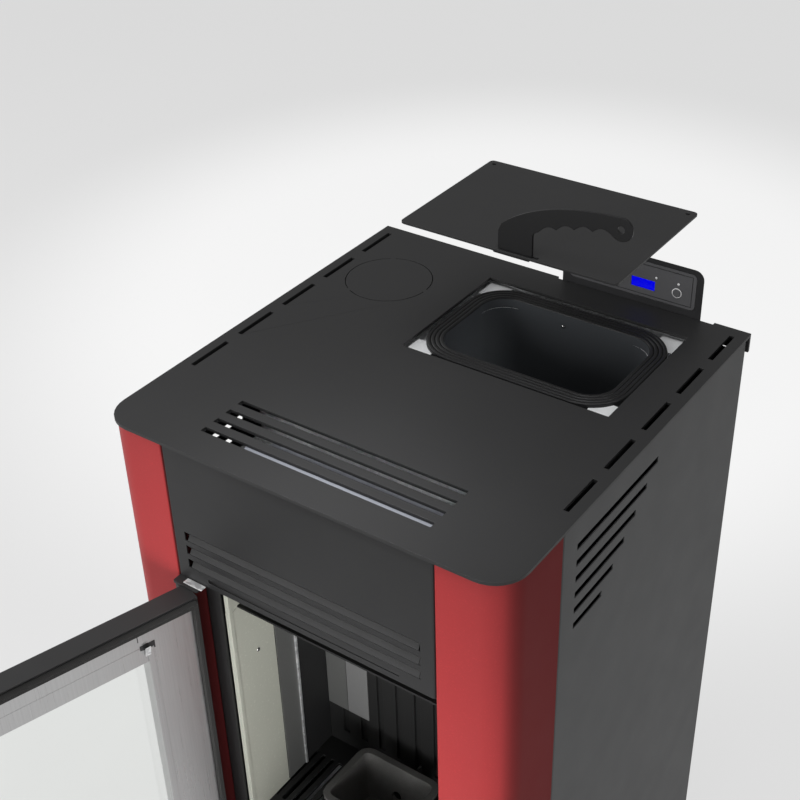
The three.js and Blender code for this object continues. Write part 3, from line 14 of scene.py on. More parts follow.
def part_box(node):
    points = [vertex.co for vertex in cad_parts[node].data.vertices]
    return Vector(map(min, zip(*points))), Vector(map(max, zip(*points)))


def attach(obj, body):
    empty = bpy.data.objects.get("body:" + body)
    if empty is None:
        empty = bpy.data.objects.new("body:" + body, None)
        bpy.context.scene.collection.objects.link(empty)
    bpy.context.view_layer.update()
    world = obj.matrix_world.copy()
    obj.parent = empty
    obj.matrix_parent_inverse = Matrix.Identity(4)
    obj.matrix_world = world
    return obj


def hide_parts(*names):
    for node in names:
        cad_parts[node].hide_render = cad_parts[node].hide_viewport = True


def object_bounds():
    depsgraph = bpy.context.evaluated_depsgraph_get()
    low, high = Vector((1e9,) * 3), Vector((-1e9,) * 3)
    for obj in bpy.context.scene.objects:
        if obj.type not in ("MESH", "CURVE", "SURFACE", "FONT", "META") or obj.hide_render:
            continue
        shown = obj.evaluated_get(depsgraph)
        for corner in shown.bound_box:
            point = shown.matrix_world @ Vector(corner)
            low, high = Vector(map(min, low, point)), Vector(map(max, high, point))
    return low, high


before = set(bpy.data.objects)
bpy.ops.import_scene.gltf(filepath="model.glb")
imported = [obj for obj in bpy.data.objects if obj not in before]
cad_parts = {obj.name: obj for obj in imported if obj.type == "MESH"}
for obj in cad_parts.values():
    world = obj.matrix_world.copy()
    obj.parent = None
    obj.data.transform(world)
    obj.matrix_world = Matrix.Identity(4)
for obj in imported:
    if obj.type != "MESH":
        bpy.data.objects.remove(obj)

Span = tuple[float, float]
Triple = tuple[float, float, float]
Colour = Triple
Spans = tuple[Span, Span, Span]
Test = Callable[[Vector, Vector], bool]

log = logging.getLogger("pellet_stove")
CAD_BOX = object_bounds()
MM = 0.001
STOVE_HEIGHT = 960.0
PLATE_HALF_WIDTH = 260.0
SIDES = ((-1, "left"), (1, "right"))
FINE_EDGE = 0.2
LEVEL_NORMAL = 0.9
UPRIGHT_NORMAL = 0.2
FORWARD = Vector((0, -1, 0))
UP = Vector((0, 0, 1))


# ---------------- places


class Place:
    """Turns the stove's own millimetres into metres of the shared frame.

    X runs right from the middle of the top plate, Y back from its front edge and Z up from
    the floor.
    """

    _low, _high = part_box("top_plate")
    SHIFT = Vector((_low.x + PLATE_HALF_WIDTH * MM, _low.y, _high.z - STOVE_HEIGHT * MM))
    HINGE = (-169.9, -1.7)
    DOOR_ANGLE = math.radians(-107.5)

    @classmethod
    def at(cls, x: float, y: float, z: float) -> Vector:
        """Give the frame's point, in metres, for a point of the stove in millimetres."""
        return Vector((x, y, z)) * MM + cls.SHIFT

    @classmethod
    def door_matrix(cls) -> Matrix:
        """Give the turn that carries the closed door to where it stands open."""
        pivot, turn = cls.at(*cls.HINGE, 0), Matrix.Rotation(cls.DOOR_ANGLE, 4, "Z")
        return Matrix.Translation(pivot) @ turn @ Matrix.Translation(-pivot)


def mirror(span: Span, side: int) -> Span:
    """Carry a span across from the middle to the left (-1) or the right (1)."""
    return side * span[0], side * span[1]


# ---------------- shader arithmetic


class Port:
    """One output of a shader node, usable in plain arithmetic."""

    def __init__(self, book: "ShaderBook", socket: bpy.types.NodeSocket) -> None:
        """Wrap an output socket of the book's node tree."""
        self.book = book
        self.socket = socket

    def _math(self, operation: str, *values: "Port | float") -> "Port":
        """Put a Math node after this value."""
        return self.book.node("ShaderNodeMath", {"operation": operation}, dict(enumerate(values)))

    def __add__(self, other: "Port | float") -> "Port":
        """Add."""
        return self._math("ADD", self, other)

    __radd__ = __add__

    def __sub__(self, other: "Port | float") -> "Port":
        """Subtract."""
        return self._math("SUBTRACT", self, other)

    def __mul__(self, other: "Port | float") -> "Port":
        """Multiply."""
        return self._math("MULTIPLY", self, other)

    def wave(self) -> "Port":
        """Give the sine."""
        return self._math("SINE", self)

    def swing(self, width: float) -> "Port":
        """Centre a value between 0 and 1 on 0 and scale it to a width."""
        return (self - 0.5) * width

    def step(self, low: float, high: float) -> "Port":
        """Rise smoothly from 0 at low to 1 at high."""
        ends = {0: self, 1: low, 2: high, 3: 0.0, 4: 1.0}
        return self.book.node("ShaderNodeMapRange", {"interpolation_type": "SMOOTHSTEP"}, ends)


def shade(colour: Colour, factor: float) -> Colour:
    """Lighten or darken a colour by a factor."""
    return tuple(min(1.0, channel * factor) for channel in colour)


class ShaderBook:
    """Builds one material's nodes."""

    def __init__(self, name: str) -> None:
        """Start an empty material.

        Args:
            name: The material's name.
        """
        self.material = bpy.data.materials.new(name)
        self.material.use_nodes = True
        self.tree = self.material.node_tree
        self.tree.nodes.clear()
        self.surface = self.tree.nodes.new("ShaderNodeBsdfPrincipled")
        self.output = self.tree.nodes.new("ShaderNodeOutputMaterial")
        self.tree.links.new(self.surface.outputs[0], self.output.inputs[0])
        self.place = self.node("ShaderNodeTexCoord", {}, {}, "Object")

    def node(self, kind: str, settings: dict, values: dict, output: str | int = 0) -> Port:
        """Add one node of any kind.

        Args:
            kind: The node's type.
            settings: Its properties.
            values: A value or a Port for each input, by name or index.
            output: Which output is wanted.

        Returns:
            That output.
        """
        made = self.tree.nodes.new(kind)
        for key, value in settings.items():
            setattr(made, key, value)
        for key, value in values.items():
            if isinstance(value, Port):
                self.tree.links.new(value.socket, made.inputs[key])
            else:
                made.inputs[key].default_value = value
        return Port(self, made.outputs[output])

    def noise(
        self, scale: float, detail: float, stretch: Triple | None = None, rough: float = 0.5
    ) -> Port:
        """Give noise between 0 and 1 over the piece.

        Args:
            scale: Cells to the metre.
            detail: Octaves.
            stretch: A factor for each direction, or none.
            rough: Weight of the finer octaves.

        Returns:
            The noise value.
        """
        spot = self.place
        if stretch:
            spot = self.node("ShaderNodeMapping", {}, {"Vector": spot, "Scale": stretch})
        values = {"Vector": spot, "Scale": scale, "Detail": detail, "Roughness": rough}
        return self.node("ShaderNodeTexNoise", {}, values)

    def cells(self, scale: float, output: str = "Distance") -> Port:
        """Give the Distance or Color of a pattern with so many cells to the metre."""
        return self.node("ShaderNodeTexVoronoi", {}, {"Vector": self.place, "Scale": scale}, output)

    def blend(self, share: Port | float, first: Port | Colour, second: Port | Colour) -> Port:
        """Mix two colours by the share of the second."""
        one, two = (c if isinstance(c, Port) else (*c, 1.0) for c in (first, second))
        return self.node("ShaderNodeMix", {"data_type": "RGBA"}, {0: share, 6: one, 7: two}, 2)

    def tint(self, share: Port, colour: Colour, tones: Span) -> Port:
        """Vary a colour between two factors of itself."""
        return self.blend(share, shade(colour, tones[0]), shade(colour, tones[1]))

    def bump(self, height: Port, depth: float) -> Port:
        """Turn a height from 0 to 1 into a normal, with the metres between them."""
        values = {"Height": height, "Distance": depth, "Strength": 1.0}
        return self.node("ShaderNodeBump", {}, values, "Normal")

    def axis(self, index: int) -> Port:
        """Give the place's X, Y or Z (0, 1 or 2) in metres."""
        return self.node("ShaderNodeSeparateXYZ", {}, {0: self.place}, index)

    def set(self, **values: "Port | float | Colour") -> None:
        """Set sockets of the surface, named with underscores for spaces.

        Args:
            **values: A value or a Port for each socket.
        """
        for key, value in values.items():
            socket = self.surface.inputs[key.replace("_", " ")]
            if isinstance(value, Port):
                self.tree.links.new(value.socket, socket)
            else:
                socket.default_value = (*value, 1.0) if isinstance(value, tuple) else value


# ---------------- finishes


@dataclass(frozen=True)
class Finish:
    """What every finish of the stove has."""

    name: str
    colour: Colour

    def paint(self, book: ShaderBook) -> None:
        """Wire the surface of this finish into the material's nodes."""
        raise NotImplementedError

    def material(self) -> bpy.types.Material:
        """Give the material, made once.

        Returns:
            The material.
        """
        found = bpy.data.materials.get(self.name)
        if found:
            return found
        book = ShaderBook(self.name)
        self.paint(book)
        return book.material


@dataclass(frozen=True)
class PowderCoat(Finish):
    """Baked powder paint: a fine pebbled skin with faint clouds; past a fold, painted shade and a
    rougher sheen.
    """

    roughness: float = 0.5
    grain: float = 1100.0
    depth: float = 0.00006
    sheen: float = 0.5
    # Painted shade past a fold: how dark the colour goes there, over which span of X, and how much
    # rougher.
    painted_shade_tone: float = 1.0
    painted_shade_fold: Span = (0.266, 0.2805)
    side_dulling: float = 0.3
    cloud_scale: float = 5.0
    cloud_tones: Span = (0.92, 1.08)
    rub_scale: float = 22.0
    fleck_reach: Span = (0.58, 0.78)
    fleck_tone: float = 1.45
    fleck_share: float = 0.35

    def paint(self, book: ShaderBook) -> None:
        """Wire the paint.

        Args:
            book: The material's nodes.
        """
        pebble = book.noise(self.grain, 2.0)
        cloud = book.noise(self.cloud_scale, 3.0)
        fleck = book.noise(self.grain * 0.6, 1.0).step(*self.fleck_reach)
        rubbed = book.noise(self.rub_scale, 4.0)
        tone = book.tint(cloud, self.colour, self.cloud_tones)
        tone = book.blend(fleck * self.fleck_share, tone, shade(self.colour, self.fleck_tone))
        rough = self.roughness + cloud.swing(0.10) + rubbed.swing(0.10) + pebble.swing(0.12)
        # Painted shade: past the fold the colour darkens, standing in for the shade on a side
        # turned from the light.
        if self.painted_shade_tone != 1.0:
            side = book.axis(0).step(*self.painted_shade_fold)
            tone = book.blend(side, tone, shade(self.colour, self.painted_shade_tone))
            rough = rough + side * self.side_dulling
        book.set(
            Base_Color=tone,
            Roughness=rough,
            Normal=book.bump(pebble, self.depth),
            Specular_IOR_Level=self.sheen,
        )


@dataclass(frozen=True)
class DrawnSteel(Finish):
    """Bare sheet with its rolling lines along one direction."""

    roughness: float = 0.32
    stretch: Triple = (12.0, 12.0, 700.0)
    line_tones: Span = (0.82, 1.12)
    line_depth: float = 0.00003
    smear_scale: float = 9.0
    scratch_scale: float = 2.3
    scratch_thinning: float = 0.35
    scratch_reach: Span = (0.66, 0.72)
    scratch_tone: float = 1.3
    scratch_share: float = 0.12

    def paint(self, book: ShaderBook) -> None:
        """Wire the sheet.

        Args:
            book: The material's nodes.
        """
        lines = book.noise(1.0, 4.0, self.stretch, 0.65)
        smear = book.noise(self.smear_scale, 4.0)
        sparse = tuple(factor * self.scratch_thinning for factor in self.stretch)
        scratch = book.noise(self.scratch_scale, 2.0, sparse).step(*self.scratch_reach)
        tone = book.tint(lines, self.colour, self.line_tones)
        tone = book.blend(scratch * self.scratch_share, tone, shade(self.colour, self.scratch_tone))
        book.set(
            Base_Color=tone,
            Metallic=1.0,
            Roughness=self.roughness + lines.swing(0.22) + smear.swing(0.16),
            Normal=book.bump(lines, self.line_depth),
        )


@dataclass(frozen=True)
class ZincSheet(Finish):
    """Galvanised steel with its crystal spangle."""

    roughness: float = 0.42
    metal: float = 0.85
    crystal_scale: float = 170.0
    vein_scale: float = 420.0
    tones: Span = (0.78, 1.15)
    depth: float = 0.00003

    def paint(self, book: ShaderBook) -> None:
        """Wire the spangle.

        Args:
            book: The material's nodes.
        """
        spangle = book.cells(self.crystal_scale, "Color")
        crystal = book.node("ShaderNodeSeparateColor", {}, {0: spangle}, 0)
        vein = book.noise(self.vein_scale, 3.0)
        book.set(
            Base_Color=book.tint(crystal * 0.8 + vein * 0.2, self.colour, self.tones),
            Metallic=self.metal,
            Roughness=self.roughness + crystal.swing(0.16) + vein.swing(0.12),
            Normal=book.bump(crystal * 0.5 + vein * 0.5, self.depth),
        )


@dataclass(frozen=True)
class Casting(Finish):
    """Grey iron as it leaves the sand, blackened by use."""

    roughness: float = 0.75
    metal: float = 0.35
    soot: float = 0.5
    soot_tone: float = 0.4
    soot_reach: Span = (0.4, 0.7)
    sand_scale: float = 650.0
    sand_tones: Span = (0.7, 1.4)
    lump_scale: float = 60.0
    stain_scale: float = 8.0
    depth: float = 0.0003

    def paint(self, book: ShaderBook) -> None:
        """Wire the casting.

        Args:
            book: The material's nodes.
        """
        sand = book.noise(self.sand_scale, 4.0, rough=0.7)
        lump = book.noise(self.lump_scale, 3.0)
        stain = book.noise(self.stain_scale, 5.0).step(*self.soot_reach)
        tone = book.tint(sand, self.colour, self.sand_tones)
        book.set(
            Base_Color=book.blend(stain * self.soot, tone, shade(self.colour, self.soot_tone)),
            Metallic=self.metal,
            Roughness=self.roughness + lump.swing(0.2),
            Normal=book.bump(sand * 0.6 + lump * 0.4, self.depth),
        )


@dataclass(frozen=True)
class Rubber(Finish):
    """Moulded rubber with a dull bloom."""

    roughness: float = 0.5
    sheen: float = 0.35
    bloom_scale: float = 30.0
    bloom_tones: Span = (0.8, 1.5)
    skin_scale: float = 1500.0
    skin_depth: float = 0.00004

    def paint(self, book: ShaderBook) -> None:
        """Wire the rubber.

        Args:
            book: The material's nodes.
        """
        bloom = book.noise(self.bloom_scale, 4.0)
        skin = book.noise(self.skin_scale, 2.0)
        book.set(
            Base_Color=book.tint(bloom, self.colour, self.bloom_tones),
            Roughness=self.roughness + bloom.swing(0.2),
            Specular_IOR_Level=self.sheen,
            Normal=book.bump(skin, self.skin_depth),
        )


@dataclass(frozen=True)
class BraidedRope(Finish):
    """Glass-fibre rope with a diamond braid, read along the open door and up it."""

    pitch: float = 4.2
    fuzz_scale: float = 1800.0
    tones: Span = (0.4, 1.6)
    depth: float = 0.0005

    def paint(self, book: ShaderBook) -> None:
        """Wire the braid.

        Args:
            book: The material's nodes.
        """
        turn = {"Vector": book.place, "Rotation": (0.0, 0.0, -Place.DOOR_ANGLE)}
        turned = book.node("ShaderNodeMapping", {}, turn)
        along = book.node("ShaderNodeSeparateXYZ", {}, {0: turned}, 0)
        up = book.axis(2)
        turns = math.tau / (self.pitch * MM)
        knit = ((along + up) * turns).wave() * ((along - up) * turns).wave() * 0.5 + 0.5
        fuzz = book.noise(self.fuzz_scale, 3.0)
        relief = knit * 0.8 + fuzz * 0.2
        book.set(
            Base_Color=book.tint(relief, self.colour, self.tones),
            Roughness=0.85 + fuzz * 0.1,
            Normal=book.bump(relief, self.depth),
        )


@dataclass(frozen=True)
class Moulding(Finish):
    """Grained plastic."""

    roughness: float = 0.48
    grain: float = 1600.0
    grain_depth: float = 0.00003
    cloud_scale: float = 18.0
    cloud_tones: Span = (0.9, 1.15)

    def paint(self, book: ShaderBook) -> None:
        """Wire the plastic.

        Args:
            book: The material's nodes.
        """
        cloud = book.noise(self.cloud_scale, 3.0)
        book.set(
            Base_Color=book.tint(cloud, self.colour, self.cloud_tones),
            Roughness=self.roughness + cloud.swing(0.12),
            Normal=book.bump(book.cells(self.grain), self.grain_depth),
        )


@dataclass(frozen=True)
class HeatGlass(Finish):
    """Clear heat-proof glass with a breath of soot."""

    index: float = 1.45
    haze_scale: float = 7.0
    haze_tone: float = 0.96

    def paint(self, book: ShaderBook) -> None:
        """Wire the glass.

        Args:
            book: The material's nodes.
        """
        haze = book.noise(self.haze_scale, 4.0)
        book.set(
            Base_Color=book.tint(haze, self.colour, (1.0, self.haze_tone)),
            Transmission_Weight=1.0,
            IOR=self.index,
            Roughness=0.01 + haze * 0.04,
        )


@dataclass(frozen=True)
class LitPanel(Finish):
    """A lit display behind a clear window."""

    roughness: float = 0.12
    pitch: float = 2100.0
    mottle_scale: float = 60.0
    dim_tone: float = 0.6
    unlit_tone: float = 0.3

    def paint(self, book: ShaderBook) -> None:
        """Wire the display.

        Args:
            book: The material's nodes.
        """
        rows = (book.axis(2) * self.pitch).wave() * 0.5 + 0.5
        columns = (book.axis(0) * self.pitch).wave() * 0.5 + 0.5
        share = rows * columns * 0.18 + book.noise(self.mottle_scale, 1.0) * 0.2
        book.set(
            Base_Color=shade(self.colour, self.unlit_tone),
            Roughness=self.roughness,
            Emission_Color=book.tint(share, self.colour, (1.0, self.dim_tone)),
            Emission_Strength=1.0,
        )


@dataclass(frozen=True)
class StudioPaper(Finish):
    """Pale floor paper: it keeps shadows, and from the camera it glows with a painted pool of light
    that darkens towards its rim.
    """

    # The painted pool of light: the colour at its rim, its middle, and the distances over which it
    # fades.
    edge: Colour = (0.79, 0.79, 0.79)
    middle: Triple = (-0.9, 1.8, 0.0)
    reach: Span = (0.832, 1.6)
    lit_share: float = 0.8
    roughness: float = 0.9
    sheen: float = 0.1
    fibre_scale: float = 900.0
    fibre_tone: float = 0.97
    fibre_depth: float = 0.0001

    def paint(self, book: ShaderBook) -> None:
        """Wire the paper.

        Args:
            book: The material's nodes.
        """
        centring = {0: book.place, 1: self.middle}
        centred = book.node("ShaderNodeVectorMath", {"operation": "SUBTRACT"}, centring)
        length = book.node("ShaderNodeVectorMath", {"operation": "LENGTH"}, {0: centred}, "Value")
        fibre = book.noise(self.fibre_scale, 3.0)
        book.set(
            Base_Color=book.tint(fibre, self.colour, (self.fibre_tone, 1.0)),
            Roughness=self.roughness,
            Specular_IOR_Level=self.sheen,
            Normal=book.bump(fibre, self.fibre_depth),
        )
        # Painted light: seen from the camera the floor glows brightest round the middle and fades
        # to the darker rim colour.
        seen = book.blend(length.step(*self.reach), self.colour, self.edge)
        painted_light_glow = book.node("ShaderNodeEmission", {}, {"Color": seen, "Strength": 1.0})
        camera, glossy, through = (
            book.node("ShaderNodeLightPath", {}, {}, f"Is {ray} Ray")
            for ray in ("Camera", "Glossy", "Transmission")
        )
        looks = (camera + glossy + through).step(0.0, 1.0) * self.lit_share
        surface = Port(book, book.surface.outputs[0])
        mixed = book.node("ShaderNodeMixShader", {}, {0: looks, 1: surface, 2: painted_light_glow})
        book.tree.links.new(mixed.socket, book.output.inputs[0])


SMOOTH = 0.00003
CHARCOAL = PowderCoat("charcoal_coat", (0.022, 0.022, 0.0225), roughness=0.5, sheen=0.32)
PANEL_COAT = PowderCoat("panel_coat", (0.0165, 0.0165, 0.017), roughness=0.5, sheen=0.3)
LID_COAT = PowderCoat("lid_coat", (0.022, 0.022, 0.0225), roughness=0.48, sheen=0.3)
CASING_GREY = PowderCoat("casing_grey_coat", (0.062, 0.063, 0.064), roughness=0.55, sheen=0.3)
# Red paint; on the right column the outer side past its fold carries painted shade.
STOVE_RED = PowderCoat("red_coat", (0.36, 0.028, 0.030), 0.5, 900.0, sheen=0.22, painted_shade_tone=0.42)
# The same red with painted shade on the left column's faces past its inner fold, beside the door.
RED_WITH_INNER_SHADE = replace(STOVE_RED, name="red_coat_inner_shade", painted_shade_tone=0.25, painted_shade_fold=(-0.156, -0.1545))
HEAT_BLACK = PowderCoat("heat_black_coat", (0.018, 0.018, 0.0185), 0.55, depth=0.00008, sheen=0.4)
TOOL_COAT = PowderCoat("tool_coat", (0.010, 0.010, 0.0105), roughness=0.42, sheen=0.25)
HOPPER_COAT = PowderCoat("hopper_coat", (0.065, 0.07, 0.076), 0.33, depth=SMOOTH, sheen=0.6)
LINING = PowderCoat("lining_coat", (0.50, 0.51, 0.44), roughness=0.45, grain=500.0, depth=SMOOTH)
REAR_LINING = PowderCoat("rear_lining_coat", (0.12, 0.122, 0.118), roughness=0.4, depth=SMOOTH)
PALE_LINING = PowderCoat("pale_lining_coat", (0.2, 0.2, 0.2), roughness=0.42, depth=SMOOTH)
COLLAR_ZINC = PowderCoat("collar_zinc", (0.85, 0.86, 0.87), roughness=0.4, depth=SMOOTH)
DEFLECTOR_COAT = PowderCoat("deflector_coat", (0.21, 0.22, 0.25), roughness=0.5, depth=SMOOTH)
MOTOR_GREY = PowderCoat("motor_grey_coat", (0.11, 0.115, 0.12), roughness=0.45, sheen=0.5)
TUBE_COAT = PowderCoat("tube_coat", (0.02, 0.02, 0.02), roughness=0.7, sheen=0.2)
ZINC = ZincSheet("zinc_sheet", (0.62, 0.64, 0.65))
PALE_ZINC = ZincSheet("pale_zinc_sheet", (0.86, 0.87, 0.88), roughness=0.5)
UPRIGHT_STEEL = DrawnSteel("upright_drawn_steel", (0.52, 0.52, 0.52), stretch=(700.0, 700.0, 10.0))
LEVEL_STEEL = DrawnSteel("level_drawn_steel", (0.58, 0.58, 0.58), stretch=(10.0, 10.0, 700.0))
TURNED_STEEL = DrawnSteel("turned_steel", (0.6, 0.6, 0.6), 0.24, stretch=(60.0, 60.0, 900.0))
IRON = Casting("stove_iron", (0.05, 0.048, 0.046))
ASHY_IRON = Casting("ashy_iron", (0.10, 0.098, 0.094), soot=0.7)
SEAL_RUBBER = Rubber("seal_rubber", (0.007, 0.007, 0.0075), roughness=0.45)
FOOT_RUBBER = Rubber("foot_rubber", (0.02, 0.02, 0.02), roughness=0.65)
ROPE = BraidedRope("door_rope", (0.016, 0.0155, 0.015))
CONSOLE_BLACK = Moulding("console_moulding", (0.018, 0.018, 0.0195), roughness=0.5)
FASCIA_GREY = Moulding("fascia_moulding", (0.105, 0.105, 0.11), roughness=0.45, grain=2400.0)
CAP_BLACK = Moulding("cap_moulding", (0.016, 0.016, 0.017), roughness=0.35)
MARK_WHITE = Moulding("white_print", (0.85, 0.85, 0.85), roughness=0.5)
GLASS = HeatGlass("heat_glass", (0.97, 0.99, 0.97))
DISPLAY_BLUE = LitPanel("display_blue", (0.0, 0.0, 0.68))
PAPER = StudioPaper("studio_paper", (1.0, 1.0, 1.0))


# ---------------- the bench


class Slot(Enum):
    """Material slot names, passed along with the new pieces."""

    CHARCOAL = "charcoal_paint"
    RED = "red_paint"
    GREY = "grey_paint"
    BLACK = "black_paint"
    RUBBER = "black_rubber"
    ROPE = "seal_rope"
    IRON = "stove_iron"
    LINING = "grey_lining"
    ZINC = "zinc_sheet"
    STEEL = "stainless"
    MACHINE = "grey_steel"
    HOPPER = "hopper_paint"
    GLASS = "ceramic_glass"
    PLASTIC = "black_plastic"
    FASCIA = "fascia_plastic"
    DISPLAY = "blue_display"


class Pick(Enum):
    """What an edit-mode choice selects."""

    FACES = "FACE"
    POINTS = "VERT"


class Bench:
    """Modelling steps, each on one piece alone."""

    SHARP = math.radians(35.0)
    CREASE = math.radians(50)
    FLAT = math.radians(0.6)

    @staticmethod
    def clear() -> None:
        """Leave edit mode and deselect everything."""
        if bpy.context.object and bpy.context.object.mode != "OBJECT":
            bpy.ops.object.mode_set(mode="OBJECT")
        bpy.ops.object.select_all(action="DESELECT")

    @classmethod
    def take(cls, piece: bpy.types.Object) -> None:
        """Make one piece the only selected and active one.

        Args:
            piece: The piece.
        """
        cls.clear()
        piece.select_set(True)
        bpy.context.view_layer.objects.active = piece

    @classmethod
    def edit(cls, piece: bpy.types.Object) -> None:
        """Open one piece in edit mode."""
        cls.take(piece)
        bpy.ops.object.mode_set(mode="EDIT")

    @staticmethod
    def close() -> None:
        """Merge doubled points, turn all faces outwards and leave edit mode."""
        bpy.ops.mesh.select_all(action="SELECT")
        bpy.ops.mesh.remove_doubles(threshold=1e-6)
        bpy.ops.mesh.normals_make_consistent(inside=False)
        bpy.ops.object.mode_set(mode="OBJECT")

    @classmethod
    def settle(cls, name: str) -> bpy.types.Object:
        """Name the active piece and put its place into its mesh.

        Args:
            name: The piece's name.

        Returns:
            The piece.
        """
        if bpy.context.object.mode != "OBJECT":
            bpy.ops.object.mode_set(mode="OBJECT")
        piece = bpy.context.object
        piece.name = name
        piece.data.name = name
        bpy.ops.object.transform_apply(location=True, rotation=True, scale=True)
        return piece

    @classmethod
    def slab(cls, name: str, low: Vector, high: Vector) -> bpy.types.Object:
        """Add a rectangular blank between two corners.

        Args:
            name: The piece's name.
            low: Its lowest corner.
            high: Its highest corner.

        Returns:
            The blank.
        """
        cls.clear()
        bpy.ops.mesh.primitive_cube_add(size=1.0, location=(low + high) / 2, scale=high - low)
        return cls.settle(name)

    @classmethod
    def patch(cls, name: str, x: Span, y: Span, z: Span) -> bpy.types.Object:
        """Add a rectangular blank from three spans of the stove's millimetres, in either order."""
        low, high = (Place.at(pick(x), pick(y), pick(z)) for pick in (min, max))
        return cls.slab(name, low, high)

    @classmethod
    def lean(cls, piece: bpy.types.Object, shift: Vector, test: Test) -> None:
        """Push the points that pass a test, so that a blank leans.

        Args:
            piece: The piece.
            shift: The way they go, in millimetres.
            test: Takes a point's place and normal.
        """
        cls.edit(piece)
        cls.choose(piece, Pick.POINTS, test)
        bpy.ops.transform.translate(value=shift * MM)
        bpy.ops.object.mode_set(mode="OBJECT")

    @classmethod
    def rod(
        cls, name: str, start: Vector, end: Vector, radius: float, sides: int = 48
    ) -> bpy.types.Object:
        """Add a round blank between two points.

        Args:
            name: The piece's name.
            start: The middle of one end.
            end: The middle of the other end.
            radius: Its radius in metres.
            sides: How many faces go round it.

        Returns:
            The blank.
        """
        cls.clear()
        run = end - start
        turn = run.to_track_quat("Z", "Y").to_euler()
        bpy.ops.mesh.primitive_cylinder_add(
            vertices=sides,
            radius=radius,
            depth=run.length,
            location=(start + end) / 2,
            rotation=turn,
        )
        return cls.settle(name)

    @classmethod
    def turned(
        cls,
        name: str,
        profile: Sequence[Span],
        base: Vector,
        axis: Vector,
        steps: int = 64,
    ) -> bpy.types.Object:
        """Spin a profile of radius and height, in millimetres, round an axis.

        Args:
            name: The piece's name.
            profile: Its points in order; it closes on itself or on the axis.
            base: Where height 0 lies.
            axis: The direction of the axis.
            steps: How many faces go round it.

        Returns:
            The turned piece.
        """
        cls.clear()
        bpy.ops.mesh.primitive_plane_add(size=MM)
        bpy.ops.object.mode_set(mode="EDIT")
        bpy.ops.mesh.select_all(action="SELECT")
        bpy.ops.mesh.merge(type="CENTER")
        radius, height = profile[0]
        bpy.ops.transform.translate(value=(radius * MM, 0, height * MM))
        for (r0, z0), (r1, z1) in zip(profile, profile[1:]):
            move = ((r1 - r0) * MM, 0, (z1 - z0) * MM)
            bpy.ops.mesh.extrude_region_move(TRANSFORM_OT_translate={"value": move})
        bpy.ops.mesh.select_all(action="SELECT")
        bpy.ops.mesh.spin(steps=steps, angle=math.tau, center=(0, 0, 0), axis=(0, 0, 1))
        cls.close()
        piece = bpy.context.object
        piece.rotation_euler = axis.to_track_quat("Z", "Y").to_euler()
        piece.location = base
        return cls.settle(name)

    @classmethod
    def choose(cls, piece: bpy.types.Object, pick: Pick, test: Test) -> None:
        """In edit mode, select the faces or points that pass a test.

        Args:
            piece: The piece in edit mode.
            pick: Faces or points.
            test: Takes the middle and the normal of one.
        """
        bpy.ops.mesh.select_all(action="DESELECT")
        bpy.ops.mesh.select_mode(type=pick.value)
        shape = bmesh.from_edit_mesh(piece.data)
        if pick is Pick.FACES:
            for face in shape.faces:
                face.select = test(face.calc_center_median(), face.normal)
        else:
            for point in shape.verts:
                point.select = test(point.co, point.normal)
        shape.select_flush_mode()
        bmesh.update_edit_mesh(piece.data)

    @classmethod
    def ease(cls, piece: bpy.types.Object, width: float, segments: int = 2) -> bpy.types.Object:
        """Round a piece's sharp edges and even out its shading.

        Args:
            piece: The piece.
            width: Width of the rounding in millimetres.
            segments: Faces across it.

        Returns:
            The piece.
        """
        cls.take(piece)
        if width > 0:
            bevel = piece.modifiers.new("round", "BEVEL")
            bevel.width = width * MM
            bevel.segments = segments
            bevel.limit_method = "ANGLE"
            bevel.angle_limit = cls.SHARP
            bevel.use_clamp_overlap = True
            bevel.miter_outer = "MITER_ARC"
            bpy.ops.object.modifier_apply(modifier=bevel.name)
        bpy.ops.object.shade_smooth_by_angle(angle=cls.CREASE)
        weigh = piece.modifiers.new("even", "WEIGHTED_NORMAL")
        weigh.keep_sharp = True
        bpy.ops.object.modifier_apply(modifier=weigh.name)
        return piece

    @classmethod
    def fine(cls, node: str, width: float = 0.4, segments: int = 2) -> bpy.types.Object:
        """Copy a solid, join its loose faces and round its edges.

        Args:
            node: The solid's name.
            width: Width of the rounding in millimetres.
            segments: Faces across it.

        Returns:
            The new piece, which stands for the solid.
        """
        cls.clear()
        piece = bpy.data.objects.new(f"{node}_fine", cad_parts[node].data.copy())
        bpy.context.scene.collection.objects.link(piece)
        cls.take(piece)
        bpy.ops.mesh.customdata_custom_splitnormals_clear()
        bpy.ops.object.mode_set(mode="EDIT")
        bpy.ops.mesh.select_all(action="SELECT")
        bpy.ops.mesh.remove_doubles(threshold=2e-6)
        bpy.ops.mesh.dissolve_limited(angle_limit=cls.FLAT)
        bpy.ops.mesh.quads_convert_to_tris(quad_method="BEAUTY", ngon_method="BEAUTY")
        bpy.ops.object.mode_set(mode="OBJECT")
        cls.ease(piece, width, segments)
        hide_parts(node)
        return piece

    @classmethod
    def cut(cls, piece: bpy.types.Object, cutter: bpy.types.Object) -> None:
        """Cut one piece out of another and drop the cutter.

        Args:
            piece: What is cut.
            cutter: What cuts it.
        """
        cls.take(piece)
        knife = piece.modifiers.new("cut", "BOOLEAN")
        knife.object = cutter
        knife.operation = "DIFFERENCE"
        knife.solver = "EXACT"
        bpy.ops.object.modifier_apply(modifier=knife.name)
        bpy.data.objects.remove(cutter)

    @classmethod
    def join(cls, name: str, pieces: Sequence[bpy.types.Object]) -> bpy.types.Object:
        """Join pieces into one object.

        Args:
            name: The name of the whole.
            pieces: What is joined.

        Returns:
            The joined piece.
        """
        cls.take(pieces[0])
        for piece in pieces[1:]:
            piece.select_set(True)
        if len(pieces) > 1:
            bpy.ops.object.join()
        return cls.settle(name)

